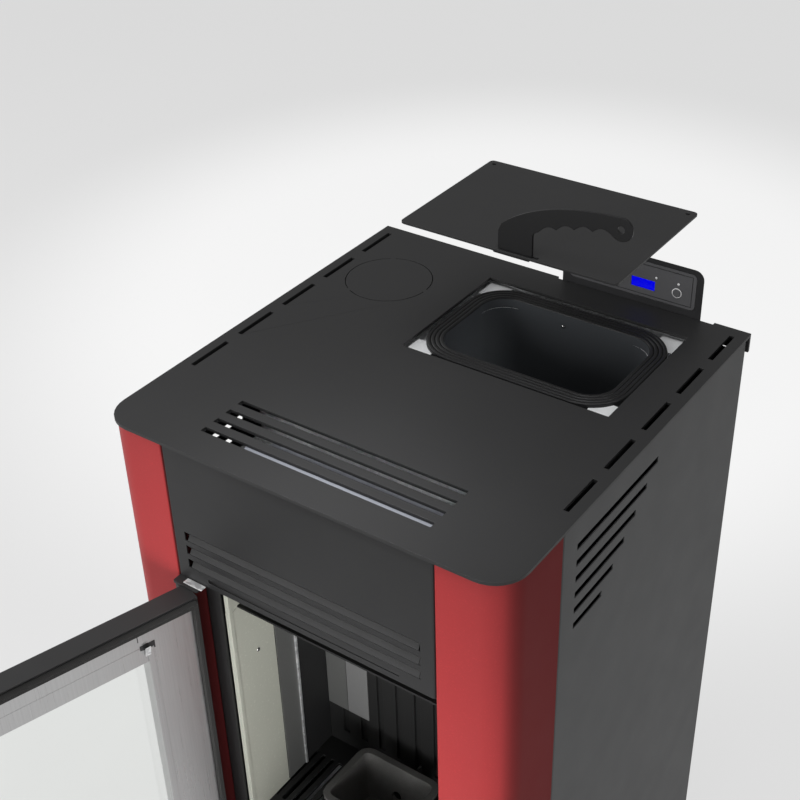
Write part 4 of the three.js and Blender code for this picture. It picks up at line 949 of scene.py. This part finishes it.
    @classmethod
    def swing(cls, piece: bpy.types.Object) -> bpy.types.Object:
        """Carry a piece made on the closed door to the open door.

        Args:
            piece: The piece.

        Returns:
            The piece, its new place in its mesh.
        """
        cls.take(piece)
        piece.matrix_world = Place.door_matrix()
        bpy.ops.object.transform_apply(location=True, rotation=True, scale=True)
        return piece

    @staticmethod
    def dress(piece: bpy.types.Object, finish: Finish) -> bpy.types.Object:
        """Give a piece one material.

        Args:
            piece: The piece.
            finish: Its finish.

        Returns:
            The piece.
        """
        piece.data.materials.clear()
        piece.data.materials.append(finish.material())
        for face in piece.data.polygons:
            face.material_index = 0
        return piece

    @classmethod
    def place(
        cls, piece: bpy.types.Object, finish: Finish, slot: Slot, body: str = "stove"
    ) -> None:
        """Finish a piece: material, body and a line in the log.

        Args:
            piece: The piece.
            finish: Its finish.
            slot: A material slot name; not used.
            body: The body it moves with.
        """
        if not piece.data.materials or piece.data.materials[0] != finish.material():
            cls.dress(piece, finish)
        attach(piece, body)
        log.info("%s: %d faces on %s", piece.name, len(piece.data.polygons), body)

    @classmethod
    def strip(cls, name: str, spans: Spans, finish: Finish, slot: Slot) -> None:
        """Lay a strip with fine edges on the stove."""
        cls.place(cls.ease(cls.patch(name, *spans), FINE_EDGE), finish, slot)


@dataclass
class SheetPart:
    """A solid whose shape stays, with its edges rounded and its finish on."""

    node: str
    finish: Finish
    slot: Slot
    width: float = 0.4
    segments: int = 2
    body: str = "stove"

    def build(self) -> None:
        """Make the piece."""
        piece = Bench.fine(self.node, self.width, self.segments)
        Bench.place(piece, self.finish, self.slot, self.body)

    @classmethod
    def build_all(cls, *rows: tuple) -> None:
        """Make one piece for each row of fields."""
        for row in rows:
            cls(*row).build()


@dataclass
class ScrewHead:
    """A pan head with a cross recess, set against a face."""

    radius: float = 3.4
    height: float = 1.8
    recess_radius: float = 0.42

    def build(self, name: str, seat: Vector, out: Vector) -> None:
        """Make one screw.

        Args:
            name: Its name.
            seat: Where its underside meets the face.
            out: The way it points.
        """
        r, h = self.radius, self.height
        dome = [(0, 0), (r, 0), (r, h * 0.35), (r * 0.86, h * 0.72), (r * 0.55, h * 0.95), (0, h)]
        head = Bench.turned(name, dome, seat, out, 24)
        side = out.orthogonal().normalized()
        for arm in (side, out.cross(side)):
            reach = arm * (r * 0.6 * MM)
            sunk = seat + out * (h * 0.45 * MM)
            blade = Bench.rod("recess", sunk - reach, sunk + reach, self.recess_radius * MM, 6)
            blade.data.transform(Matrix.Translation(out * (h * 0.4 * MM)))
            Bench.cut(head, blade)
        Bench.place(Bench.ease(head, 0), TURNED_STEEL, Slot.STEEL)


# ---------------- sub-assemblies


@dataclass
class Casing:
    """The sheet casing: red corner columns, side panels, louvres, back, base and feet."""

    foot_radius: float = 18.0
    foot_height: float = 21.7
    foot_inset: float = 45.0
    half_width: float = 256.2
    front_y: float = 6.8
    back_y: float = 530.2
    screw_x: float = 246.0
    screw_heights: tuple[float, ...] = (70.0, 340.0, 640.0, 900.0)
    panel_back_y: float = 533.8
    blade_half_length: float = 154.5
    blade_feet: tuple[float, ...] = (829.0, 809.8, 790.6)
    blade_rise: float = 6.8
    blade_lean: float = 4.4
    blade_y: float = 5.0
    blade_thickness: float = 1.2
    blade_overlap: float = 0.3

    def build(self) -> None:
        """Make the casing."""
        self.blades()
        SheetPart.build_all(
            ("left_front_column", RED_WITH_INNER_SHADE, Slot.RED, 0.5, 3),
            ("left_side_panel", CASING_GREY, Slot.GREY),
            ("right_front_column", STOVE_RED, Slot.RED, 0.5, 3),
            ("right_side_panel", CASING_GREY, Slot.GREY),
            ("louvre_panel", PANEL_COAT, Slot.CHARCOAL, 0.12),
            ("lower_front_panel", PANEL_COAT, Slot.CHARCOAL),
            ("rear_panel", CASING_GREY, Slot.GREY, 0.3),
            ("base_tray", HEAT_BLACK, Slot.BLACK),
        )
        self.feet()
        self.screws()

    def blades(self) -> None:
        """Close each louvre with a lower blade that leans inwards from the slot's foot."""
        half, y, rise = self.blade_half_length, self.blade_y, self.blade_rise
        shift = Vector((0, self.blade_lean, 0))
        for i, foot in enumerate(self.blade_feet):
            height = (foot - self.blade_overlap, foot + rise)
            depth = (y, y + self.blade_thickness)
            blade = Bench.patch(f"louvre_blade_{i}", (-half, half), depth, height)
            middle = Place.at(0, 0, foot + rise / 2).z
            Bench.lean(blade, shift, lambda point, normal: point.z > middle)
            Bench.place(Bench.ease(blade, FINE_EDGE), PANEL_COAT, Slot.CHARCOAL)

    def feet(self) -> None:
        """Turn the four levelling feet: a ribbed pad on a threaded stem."""
        r, h, inset = self.foot_radius, self.foot_height, self.foot_inset
        pad = [(0, 0), (r - 1.5, 0), (r, 1.2), (r, 4.2), (r - 0.8, 5.0), (r, 5.8), (r, 9.0)]
        hub = [(r - 2.2, 11.5), (9.0, 12.5), (7.5, 13.5), (7.5, 15.0), (5.0, 15.2)]
        thread = [(5.0 - 0.6 * (i % 2), 15.6 + 0.6 * i) for i in range(8)]
        nut = [(9.5, 19.9), (9.5, h - 0.2), (0, h - 0.2)]
        for end, y in (("front", self.front_y + inset), ("rear", self.back_y - inset)):
            for side, label in SIDES:
                name = f"foot_{end}_{label}"
                base = Place.at(side * (self.half_width - inset), y, 0)
                foot = Bench.turned(f"{name}_pad", pad + hub + thread + nut, base, UP, 48)
                Bench.ease(foot, 0.3)
                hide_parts(name)
                Bench.place(foot, FOOT_RUBBER, Slot.RUBBER)

    def screws(self) -> None:
        """Set the screws along both edges of the back panel."""
        for side, label in SIDES:
            for i, z in enumerate(self.screw_heights):
                seat = Place.at(side * self.screw_x, self.panel_back_y, z)
                ScrewHead().build(f"back_screw_{label}_{i}", seat, -FORWARD)


@dataclass
class TopPlate:
    """The slotted top plate with the bright lip that shows under its front slot."""

    lip_x: Span = (-92.0, 152.0)
    lip_y: Triple = (40.2, 53.0, 104.0)
    lip_top: float = 955.6
    lip_fall: float = 30.0
    lip_thickness: float = 1.0

    def build(self) -> None:
        """Make the plate and the lip."""
        SheetPart("top_plate", CHARCOAL, Slot.CHARCOAL, width=0.3).build()
        front, bend, back = self.lip_y
        height = (self.lip_top - self.lip_thickness, self.lip_top)
        shelf = Bench.patch("lip_shelf", self.lip_x, (front, bend), height)
        slope = Bench.patch("lip_slope", self.lip_x, (bend, back), height)
        middle = Place.at(0, (bend + back) / 2, 0).y
        Bench.lean(slope, Vector((0, 0, -self.lip_fall)), lambda point, normal: point.y > middle)
        lip = Bench.join("deflector_lip", [shelf, slope])
        Bench.place(Bench.ease(lip, FINE_EDGE), DEFLECTOR_COAT, Slot.ZINC)


@dataclass
class HopperMouth:
    """The hopper with its zinc collar and the ribbed seal that lies on it."""

    centre_x: float = 67.5
    centre_y: float = 396.2
    width: float = 263.0
    depth: float = 180.5
    corner: float = 53.0
    band: float = 20.5
    bottom: float = 943.3
    top: float = 956.7
    ridges: int = 4
    ridge_depth: float = 2.4
    collar_z: float = 943.0
    corner_x: Span = (103.0, 134.5)
    corner_y: Span = (65.0, 96.5)
    corner_z: Span = (950.6, 951.6)
    corner_steps: int = 16
    ridge_shares: tuple[float, ...] = (0.08, 0.22, 0.42, 0.7, 1.0)
    rivet: Triple = (52.2, 464.9, 939.0)

    def build(self) -> None:
        """Make the hopper, its collar and the seal."""
        self.hopper()
        self.corners()
        self.seal()

    def hopper(self) -> None:
        """Round the hopper's edges and leave its collar bare zinc."""
        piece = Bench.fine("hopper")
        level = Place.at(0, 0, self.collar_z - 2.0).z
        self.two_tone(piece, HOPPER_COAT, COLLAR_ZINC, lambda place, normal: place.z > level)
        Bench.place(piece, HOPPER_COAT, Slot.HOPPER)
        dome = [(0, 0), (2.2, 0), (1.9, 0.6), (1.2, 1.0), (0, 1.2)]
        rivet = Bench.turned("hopper_rivet", dome, Place.at(*self.rivet), FORWARD, 20)
        Bench.place(Bench.ease(rivet, 0), TURNED_STEEL, Slot.STEEL)

    @staticmethod
    def two_tone(piece: bpy.types.Object, main: Finish, other: Finish, test: Test) -> None:
        """Give a piece one finish and the faces that pass a test another.

        Args:
            piece: The piece.
            main: The finish of most faces.
            other: The finish of those that pass.
            test: Takes a face's middle and normal.
        """
        Bench.dress(piece, main)
        piece.data.materials.append(other.material())
        for face in piece.data.polygons:
            face.material_index = int(test(face.center, face.normal))

    def seal(self) -> None:
        """Inset a rounded band again and again into the seal's rounded ridges."""
        low = Place.at(self.centre_x, self.centre_y, self.bottom)
        Bench.clear()
        bpy.ops.mesh.primitive_plane_add(size=1.0, location=low)
        seal = Bench.settle("seal_ribbed")
        seal.data.transform(Matrix.Translation(-low))
        seal.data.transform(Matrix.Diagonal((self.width * MM, self.depth * MM, 1.0, 1.0)))
        seal.data.transform(Matrix.Translation(low))
        Bench.edit(seal)
        bpy.ops.mesh.select_all(action="SELECT")
        bpy.ops.mesh.bevel(
            offset=self.corner * MM, segments=self.corner_steps, affect="VERTICES"
        )
        bpy.ops.mesh.select_all(action="SELECT")
        wall = (self.top - self.bottom - self.ridge_depth) * MM
        bpy.ops.mesh.extrude_region_move(TRANSFORM_OT_translate={"value": (0, 0, wall)})
        under = low.z + MM
        Bench.choose(
            seal, Pick.FACES, lambda at, normal: abs(normal.z) > LEVEL_NORMAL and at.z < under
        )
        bpy.ops.mesh.delete(type="ONLY_FACE")
        Bench.choose(seal, Pick.FACES, lambda at, normal: abs(normal.z) > LEVEL_NORMAL)
        self.ridge_bands()
        bpy.ops.mesh.extrude_region_move(TRANSFORM_OT_translate={"value": (0, 0, -wall)})
        bpy.ops.mesh.delete(type="FACE")
        bpy.ops.mesh.select_mode(type="EDGE")
        bpy.ops.mesh.select_all(action="DESELECT")
        bpy.ops.mesh.select_non_manifold()
        bpy.ops.mesh.bridge_edge_loops()
        Bench.close()
        Bench.ease(seal, 0)
        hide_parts("hopper_seal")

        def inner(place: Vector, normal: Vector) -> bool:
            """Tell whether a face is part of the seal's inner wall."""
            inward = Vector((low.x, low.y, place.z)) - place
            return abs(normal.z) < UPRIGHT_NORMAL and normal.dot(inward) > 0

        self.two_tone(seal, SEAL_RUBBER, HOPPER_COAT, inner)
        Bench.place(seal, SEAL_RUBBER, Slot.RUBBER)

    def ridge_bands(self) -> None:
        """Raise the ridges from the selected face, each a rounded rise and a rounded fall."""
        half = self.band / self.ridges / 2
        arc = [share * math.pi / 2 for share in self.ridge_shares]
        rise = [(half * (1 - math.cos(t)), self.ridge_depth * math.sin(t)) for t in arc]
        fall = [(2 * half - across, up) for across, up in reversed([(0.0, 0.0), *rise[:-1]])]
        for _ in range(self.ridges):
            before, height = 0.0, 0.0
            for across, up in rise + fall:
                bpy.ops.mesh.inset(
                    thickness=(across - before) * MM, depth=(up - height) * MM, use_boundary=True
                )
                before, height = across, up

    def corners(self) -> None:
        """Lay the bright collar corners that show between the seal and the plate's opening."""
        for right in (-1, 1):
            for back in (-1, 1):
                x = tuple(self.centre_x + reach for reach in mirror(self.corner_x, right))
                y = tuple(self.centre_y + reach for reach in mirror(self.corner_y, back))
                name = f"collar_corner_{right + 1}{back + 1}"
                Bench.strip(name, (x, y, self.corner_z), COLLAR_ZINC, Slot.ZINC)


@dataclass
class LidAndTool:
    """The loose hopper lid and the hooked tool that lifts it."""

    hole: Span = (191.5, 483.0)
    hole_radius: float = 2.0
    hole_z: Span = (1120.0, 1120.1)

    def build(self) -> None:
        """Make the lid and its tool."""
        # A thin black disc on the lid's top stands for a hole: painted shade for its dark inside.
        low, high = (Place.at(*self.hole, z) for z in self.hole_z)
        shade_disc = Bench.rod("lid_hole_shade", low, high, self.hole_radius * MM, 24)
        Bench.place(shade_disc, CAP_BLACK, Slot.BLACK, "hopper_lid")
        SheetPart.build_all(
            ("hopper_lid", LID_COAT, Slot.CHARCOAL, 0.45, 3, "hopper_lid"),
            ("lid_tool", TOOL_COAT, Slot.BLACK, 0.4, 3, "lid_tool"),
        )


@dataclass
class FireDoor:
    """The cast fire door with its glass, rope, inner plate, hinges, handle and latch.

    The spans of the clips run outwards from the middle, inwards from the plate and upwards.
    """

    plate_y: float = 34.0
    wear_bar: Spans = ((-161.5, -134.5), (-4.4, 3.6), (771.6, 772.6))
    strip: Spans = ((-104.0, 104.0), (32.2, 33.8), (711.0, 735.0))
    bar: Spans = ((103.2, 111.4), (0.0, 1.2), (350.0, 731.0))
    notch: Spans = ((95.0, 113.5), (0.0, 0.3), (731.5, 738.0))
    notch_edge: float = 104.0
    notch_fall: float = 4.0
    tab: Spans = ((99.5, 106.5), (1.2, 2.2), (722.0, 736.0))
    tab_bend: float = 729.0
    tab_lean: float = 3.0
    slit: Spans = ((93.4, 94.4), (0.0, 0.15), (744.5, 756.0))

    def build(self) -> None:
        """Make the door and all it carries."""
        SheetPart.build_all(
            ("door_frame", HEAT_BLACK, Slot.BLACK, 0.6, 3, "door"),
            ("door_glass", GLASS, Slot.GLASS, 0.3, 2, "door"),
            ("door_inner_plate", UPRIGHT_STEEL, Slot.STEEL, 0.35, 2, "door"),
            ("door_seal", ROPE, Slot.ROPE, 0.9, 3, "door"),
        )
        self.hang(Bench.patch("window_strip", *self.strip), UPRIGHT_STEEL, Slot.STEEL)
        self.clips()
        bar = Bench.patch("hinge_wear_bar", *self.wear_bar)
        Bench.place(Bench.ease(bar, 0.3), PALE_ZINC, Slot.ZINC)
        SheetPart.build_all(
            ("upper_hinge", HEAT_BLACK, Slot.ZINC, 0.3),
            ("lower_hinge", ZINC, Slot.ZINC, 0.3),
            ("door_handle", TURNED_STEEL, Slot.STEEL, 0.5, 2, "door_handle"),
            ("door_latch", ZINC, Slot.ZINC, 0.3, 2, "door_handle"),
        )

    def hang(
        self, piece: bpy.types.Object, finish: Finish, slot: Slot, width: float = 0.25
    ) -> None:
        """Round a piece made on the closed door, swing it open and place it."""
        Bench.place(Bench.swing(Bench.ease(piece, width)), finish, slot, "door")

    def clips(self) -> None:
        """Fit the glass clips: a bar beside the window, a notch, a bent tab and a slit over it, the
        notch and the slit as black sheets of painted shade.
        """
        for side, label in ((-1, "hinge"), (1, "latch")):
            bar = self.clip_blank(f"clip_bar_{label}", side, self.bar)
            notch = self.clip_blank(f"clip_notch_shade_{label}", side, self.notch)
            tab = self.clip_blank(f"clip_tab_{label}", side, self.tab)
            slit = self.clip_blank(f"clip_slit_shade_{label}", side, self.slit)
            edge = Place.at(side * self.notch_edge, 0, 0).x
            Bench.lean(
                notch,
                UP * -self.notch_fall,
                lambda point, normal: (point.x - edge) * side > 0 and normal.z < 0,
            )
            top = Place.at(0, 0, self.tab_bend).z
            Bench.lean(tab, FORWARD * -self.tab_lean, lambda point, normal: point.z > top)
            self.hang(bar, UPRIGHT_STEEL, Slot.STEEL)
            # The notch and the slit are thin black sheets: painted shade in the gaps at the bent
            # tab.
            self.hang(notch, CAP_BLACK, Slot.BLACK, 0)
            self.hang(tab, PALE_ZINC, Slot.ZINC, 0.4)
            self.hang(slit, CAP_BLACK, Slot.BLACK, 0)

    def clip_blank(self, name: str, side: int, spans: Spans) -> bpy.types.Object:
        """Add the blank of one clip part on the closed door's plate."""
        x, rise, z = spans
        return Bench.patch(name, mirror(x, side), tuple(self.plate_y + r for r in rise), z)


@dataclass
class FireBox:
    """What stands behind the door: frame, linings, baffle, shelf, pot, drawer and tubes."""

    wall_x: float = 148.5
    wall_z: Span = (336.0, 722.0)
    wall_y: Span = (46.5, 213.4)
    brow_x: Span = (153.5, 148.6)
    brow_z: Span = (690.3, 722.0)
    back_y: float = 213.9
    back_z: Span = (405.0, 689.0)
    screw: Span = (88.7, 601.0)

    def build(self) -> None:
        """Make the fire box."""
        self.wall_plates()
        self.back_plates()
        SheetPart.build_all(
            ("front_frame", HEAT_BLACK, Slot.BLACK),
            ("firebox", IRON, Slot.IRON),
            ("liner_left", LINING, Slot.LINING),
            ("liner_right", LINING, Slot.LINING),
            ("liner_back", IRON, Slot.IRON, 0.6),
            ("baffle_plate", IRON, Slot.BLACK, 0.6),
            ("burn_pot_shelf", IRON, Slot.IRON, 0.6),
            ("burn_pot", ASHY_IRON, Slot.IRON, 0.6, 2, "burn_pot"),
            ("ash_drawer", ZINC, Slot.ZINC, 0.4, 2, "ash_drawer"),
            ("heat_exchanger", TUBE_COAT, Slot.MACHINE, 0.3),
            ("igniter", TURNED_STEEL, Slot.STEEL, 0.3),
            ("air_deflector", PALE_ZINC, Slot.ZINC, 0.3),
        )

    def wall_plates(self) -> None:
        """Lay the strips of each side wall; the right one leaves the front edge to the latch."""
        rows = (
            ("front_edge", (46.5, 52.0), 1.4, LINING, Slot.LINING),
            ("seam", (119.6, 120.8), 0.2, CAP_BLACK, Slot.LINING),
            ("rear_strip", (121.0, 154.0), 0.8, REAR_LINING, Slot.LINING),
            ("bright_edge", (154.2, 157.4), 3.0, PALE_ZINC, Slot.ZINC),
            ("recess", (157.6, 213.4), 0.5, HEAT_BLACK, Slot.BLACK),
        )
        for side, label in SIDES:
            for name, y, rise, finish, slot in rows[side > 0 :]:
                x = mirror((self.wall_x, self.wall_x - rise), side)
                Bench.strip(f"wall_{name}_{label}", (x, y, self.wall_z), finish, slot)
            brow = (mirror(self.brow_x, side), self.wall_y, self.brow_z)
            Bench.strip(f"wall_head_{label}", brow, LINING, Slot.LINING)
            seat = Place.at(side * self.wall_x, *self.screw)
            ScrewHead(2.8, 1.6).build(f"wall_screw_{label}", seat, Vector((-side, 0, 0)))

    def back_plates(self) -> None:
        """Lay the strips at both sides of the back wall."""
        rows = (
            ("corner_plate", (147.4, 114.8), 1.2, REAR_LINING),
            ("seam", (114.8, 113.8), 0.4, CAP_BLACK),
            ("pale_strip", (113.8, 79.6), 1.2, PALE_LINING),
        )
        for side, label in SIDES:
            for name, x, rise, finish in rows:
                spans = (mirror(x, side), (self.back_y, self.back_y - rise), self.back_z)
                Bench.strip(f"back_{name}_{label}", spans, finish, Slot.LINING)


@dataclass
class Machinery:
    """The feed, the fans and the control box inside the casing."""

    def build(self) -> None:
        """Make the machinery."""
        SheetPart.build_all(
            ("auger_tube", MOTOR_GREY, Slot.MACHINE),
            ("auger_screw", TURNED_STEEL, Slot.STEEL, 0.2, 2, "auger_screw"),
            ("auger_gearmotor", MOTOR_GREY, Slot.MACHINE, 1.0),
            ("pellet_chute", IRON, Slot.IRON),
            ("blower_housing", ZINC, Slot.ZINC),
            ("blower_impeller", ZINC, Slot.ZINC, 0.15, 2, "blower_impeller"),
            ("blower_motor", MOTOR_GREY, Slot.MACHINE, 0.8),
            ("exhaust_housing", IRON, Slot.IRON, 0.8),
            ("exhaust_impeller", LEVEL_STEEL, Slot.STEEL, 0.2, 2, "exhaust_impeller"),
            ("exhaust_motor", MOTOR_GREY, Slot.MACHINE, 0.8),
            ("smoke_duct", ZINC, Slot.ZINC, 0.5),
            ("controller_box", CONSOLE_BLACK, Slot.PLASTIC, 1.5, 3),
        )


@dataclass
class Console:
    """The control console on the back edge."""

    face_y: float = 534.1
    housing_x: Span = (45.0, 160.0)
    shoulder_z: float = 990.0
    draft: float = 18.0
    lamps: tuple[Span, ...] = ((137.3, 998.9), (166.0, 998.8))
    lamp_radius: float = 1.5
    ring_centre: Span = (164.7, 986.7)
    ring_radius: float = 5.7
    ring_half_width: float = 0.6
    border_x: Span = (25.0, 184.0)
    border_z: Span = (972.5, 1013.0)
    border_width: float = 0.8
    border_y: Span = (533.98, 534.3)
    housing_back_y: float = 539.1

    def build(self) -> None:
        """Make the console."""
        self.marks()
        self.border()
        self.housing()
        SheetPart.build_all(
            ("console_fascia", FASCIA_GREY, Slot.FASCIA, 0.2),
            ("display_window", DISPLAY_BLUE, Slot.DISPLAY, 0.2),
            ("set_button", CAP_BLACK, Slot.PLASTIC, 0.4, 3, "set_button"),
            ("power_button", FASCIA_GREY, Slot.PLASTIC, 0.4, 3, "power_button"),
        )

    def housing(self) -> None:
        """Draw the back of the housing in: its sides and top run inwards behind the face."""
        piece = Bench.fine("control_console", 0.8, 3)
        back, top = Place.at(0, self.housing_back_y, self.shoulder_z)[1:]
        for (side, _), edge in zip(SIDES, self.housing_x):
            limit = Place.at(edge, 0, 0).x
            Bench.lean(
                piece,
                Vector((-side * self.draft, 0, 0)),
                lambda point, normal: point.y > back and (point.x - limit) * side > 0,
            )
        Bench.lean(piece, UP * -self.draft, lambda at, normal: at.y > back and at.z > top)
        Bench.ease(piece, 0)
        Bench.place(piece, CONSOLE_BLACK, Slot.PLASTIC)

    def marks(self) -> None:
        """Set the signal lamps and the white ring round the power button."""
        r = self.lamp_radius
        dome = [(0, -0.2), (r, -0.2), (r, 0.3), (r * 0.7, 0.6), (0, 0.75)]
        for i, centre in enumerate(self.lamps):
            self.mark(f"signal_lamp_{i}", dome, centre, 24)
        inner, outer = (self.ring_radius + way * self.ring_half_width for way in (-1, 1))
        band = [(inner, -0.1), (inner, 0.25), (outer, 0.25), (outer, -0.1), (inner, -0.1)]
        self.mark("power_ring", band, self.ring_centre, 48)

    def mark(self, name: str, profile: Sequence[Span], centre: Span, sides: int) -> None:
        """Turn one white mark on the face, at its place across and up."""
        x, z = centre
        mark = Bench.turned(name, profile, Place.at(x, self.face_y, z), FORWARD, sides)
        Bench.place(Bench.ease(mark, 0), MARK_WHITE, Slot.PLASTIC)

    def border(self) -> None:
        """Run the fine dark border round the fascia."""
        (x0, x1), (z0, z1), w = self.border_x, self.border_z, self.border_width
        runs = (((x0, x1), (z0, z0 + w)), ((x0, x1), (z1 - w, z1)))
        rises = (((x0, x0 + w), (z0, z1)), ((x1 - w, x1), (z0, z1)))
        bars = [Bench.patch("bar", x, self.border_y, z) for x, z in runs + rises]
        Bench.place(Bench.join("fascia_border", bars), CAP_BLACK, Slot.PLASTIC)


@dataclass
class RearFittings:
    """The flue spigot, the air intake, the mains inlet and its switch."""

    def build(self) -> None:
        """Make the fittings."""
        SheetPart.build_all(
            ("flue_spigot", HEAT_BLACK, Slot.BLACK, 0.3),
            ("air_intake_pipe", ZINC, Slot.ZINC, 0.3),
            ("mains_inlet", CONSOLE_BLACK, Slot.PLASTIC, 0.5, 3),
            ("mains_switch", CAP_BLACK, Slot.PLASTIC, 0.4, 3, "mains_switch"),
        )


# ---------------- studio


@dataclass
class Lamp:
    """One soft area lamp."""

    name: str
    place: Triple
    aim: Triple
    size: float
    watts: float
    spread: float = 180.0

    def build(self) -> None:
        """Hang the lamp and turn it to its aim."""
        light = bpy.data.lights.new(self.name, "AREA")
        light.shape = "SQUARE"
        light.size = self.size
        light.energy = self.watts
        light.spread = math.radians(self.spread)
        lamp = bpy.data.objects.new(self.name, light)
        bpy.context.scene.collection.objects.link(lamp)
        lamp.location = self.place
        lamp.visible_camera = False
        beam = Vector(self.aim) - Vector(self.place)
        lamp.rotation_euler = beam.to_track_quat("-Z", "Y").to_euler()


@dataclass
class Studio:
    """Floor, soft lamps, pale room and the camera at the photograph's place."""

    floor_size: float = 14.0
    floor_depth: float = 0.02
    room: Colour = (0.86, 0.86, 0.86)
    room_strength: float = 0.36
    shown: Colour = (0.93, 0.93, 0.93)
    eye: Triple = (742.59, -811.12, 844.63)
    yaw: float = -0.634
    pitch: float = 0.591
    roll: float = 0.033
    lens: float = 62.4056
    sensor: float = 36.0
    nearest: float = 0.01
    lamps: Sequence[Lamp] = ()

    def build(self) -> None:
        """Set up the studio."""
        self.floor()
        self.world()
        for lamp in self.lamps:
            lamp.build()
        self.camera()

    def floor(self) -> None:
        """Lay a pale floor with a fine grain."""
        base = Vector((0, 0, CAD_BOX[0][2]))
        half = Vector((self.floor_size / 2, self.floor_size / 2, 0))
        floor = Bench.slab("studio_floor", base - half - UP * self.floor_depth, base + half)
        Bench.edit(floor)
        Bench.choose(floor, Pick.FACES, lambda middle, normal: normal.z > LEVEL_NORMAL)
        bpy.ops.mesh.inset(thickness=self.floor_depth)
        bpy.ops.object.mode_set(mode="OBJECT")
        Bench.dress(floor, PAPER)

    def world(self) -> None:
        """Light the room evenly and show it pale behind the stove."""
        world = bpy.data.worlds.new("studio_room")
        bpy.context.scene.world = world
        world.use_nodes = True
        tree = world.node_tree
        tree.nodes.clear()
        rays = tree.nodes.new("ShaderNodeLightPath")
        lit = tree.nodes.new("ShaderNodeBackground")
        lit.inputs["Color"].default_value = (*self.room, 1)
        lit.inputs["Strength"].default_value = self.room_strength
        seen = tree.nodes.new("ShaderNodeBackground")
        seen.inputs["Color"].default_value = (*self.shown, 1)
        mix = tree.nodes.new("ShaderNodeMixShader")
        out = tree.nodes.new("ShaderNodeOutputWorld")
        tree.links.new(rays.outputs["Is Camera Ray"], mix.inputs[0])
        tree.links.new(lit.outputs[0], mix.inputs[1])
        tree.links.new(seen.outputs[0], mix.inputs[2])
        tree.links.new(mix.outputs[0], out.inputs[0])

    def camera(self) -> None:
        """Stand the camera where the photograph was taken."""
        yaw, pitch, roll = self.yaw, self.pitch, self.roll
        ahead = math.cos(pitch)
        forward = Vector((math.sin(yaw) * ahead, math.cos(yaw) * ahead, -math.sin(pitch)))
        right = Vector((math.cos(yaw), -math.sin(yaw), 0))
        down = forward.cross(right)
        across = right * math.cos(roll) + down * math.sin(roll)
        below = down * math.cos(roll) - right * math.sin(roll)
        turn = Matrix((across, -below, -forward)).transposed()
        lens = bpy.data.cameras.new("studio_camera")
        lens.lens = self.lens
        lens.sensor_width = self.sensor
        lens.clip_start = self.nearest
        eye = bpy.data.objects.new("studio_camera", lens)
        bpy.context.scene.collection.objects.link(eye)
        x, y, z = self.eye
        eye.matrix_world = Matrix.Translation(Place.at(x, y, z + STOVE_HEIGHT)) @ turn.to_4x4()
        bpy.context.scene.camera = eye


def light_the_stove() -> list[Lamp]:
    """Give the soft lamps of the studio.

    Returns:
        The lamps.
    """
    return [
        Lamp("front_soft_lamp", (-1.3, -2.8, 1.7), (0, 0, 0.6), 1.6, 40),
        Lamp("left_soft_lamp", (-2.6, 0.6, 2.4), (0, 0, 0.8), 1.6, 13),
        Lamp("top_soft_lamp", (0.2, -0.2, 3.2), (0, 0, 0.9), 1.4, 26),
        Lamp("plate_soft_lamp", (0.06, -0.26, 1.5), (0.06, -0.1, 0.96), 0.2, 0.34, 50),
        Lamp("hopper_soft_lamp", (0.42, 0.22, 1.16), (-0.02, 0.27, 0.88), 0.1, 0.018, 24),
        Lamp("chamber_soft_lamp", (0.57, -1.05, 0.62), (-0.127, -0.02, 0.6), 0.4, 0.85, 45),
    ]


def main() -> None:
    """Dress the stove and light it."""
    logging.basicConfig(level=logging.INFO, format="%(message)s")
    for part in (
        Casing(),
        TopPlate(),
        HopperMouth(),
        LidAndTool(),
        FireDoor(),
        FireBox(),
        Machinery(),
        Console(),
        RearFittings(),
    ):
        part.build()
        log.info("%s done", type(part).__name__)
    Studio(lamps=light_the_stove()).build()
    bpy.context.scene.view_settings.view_transform = "Standard"
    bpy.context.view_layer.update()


if __name__ == "__main__":
    main()
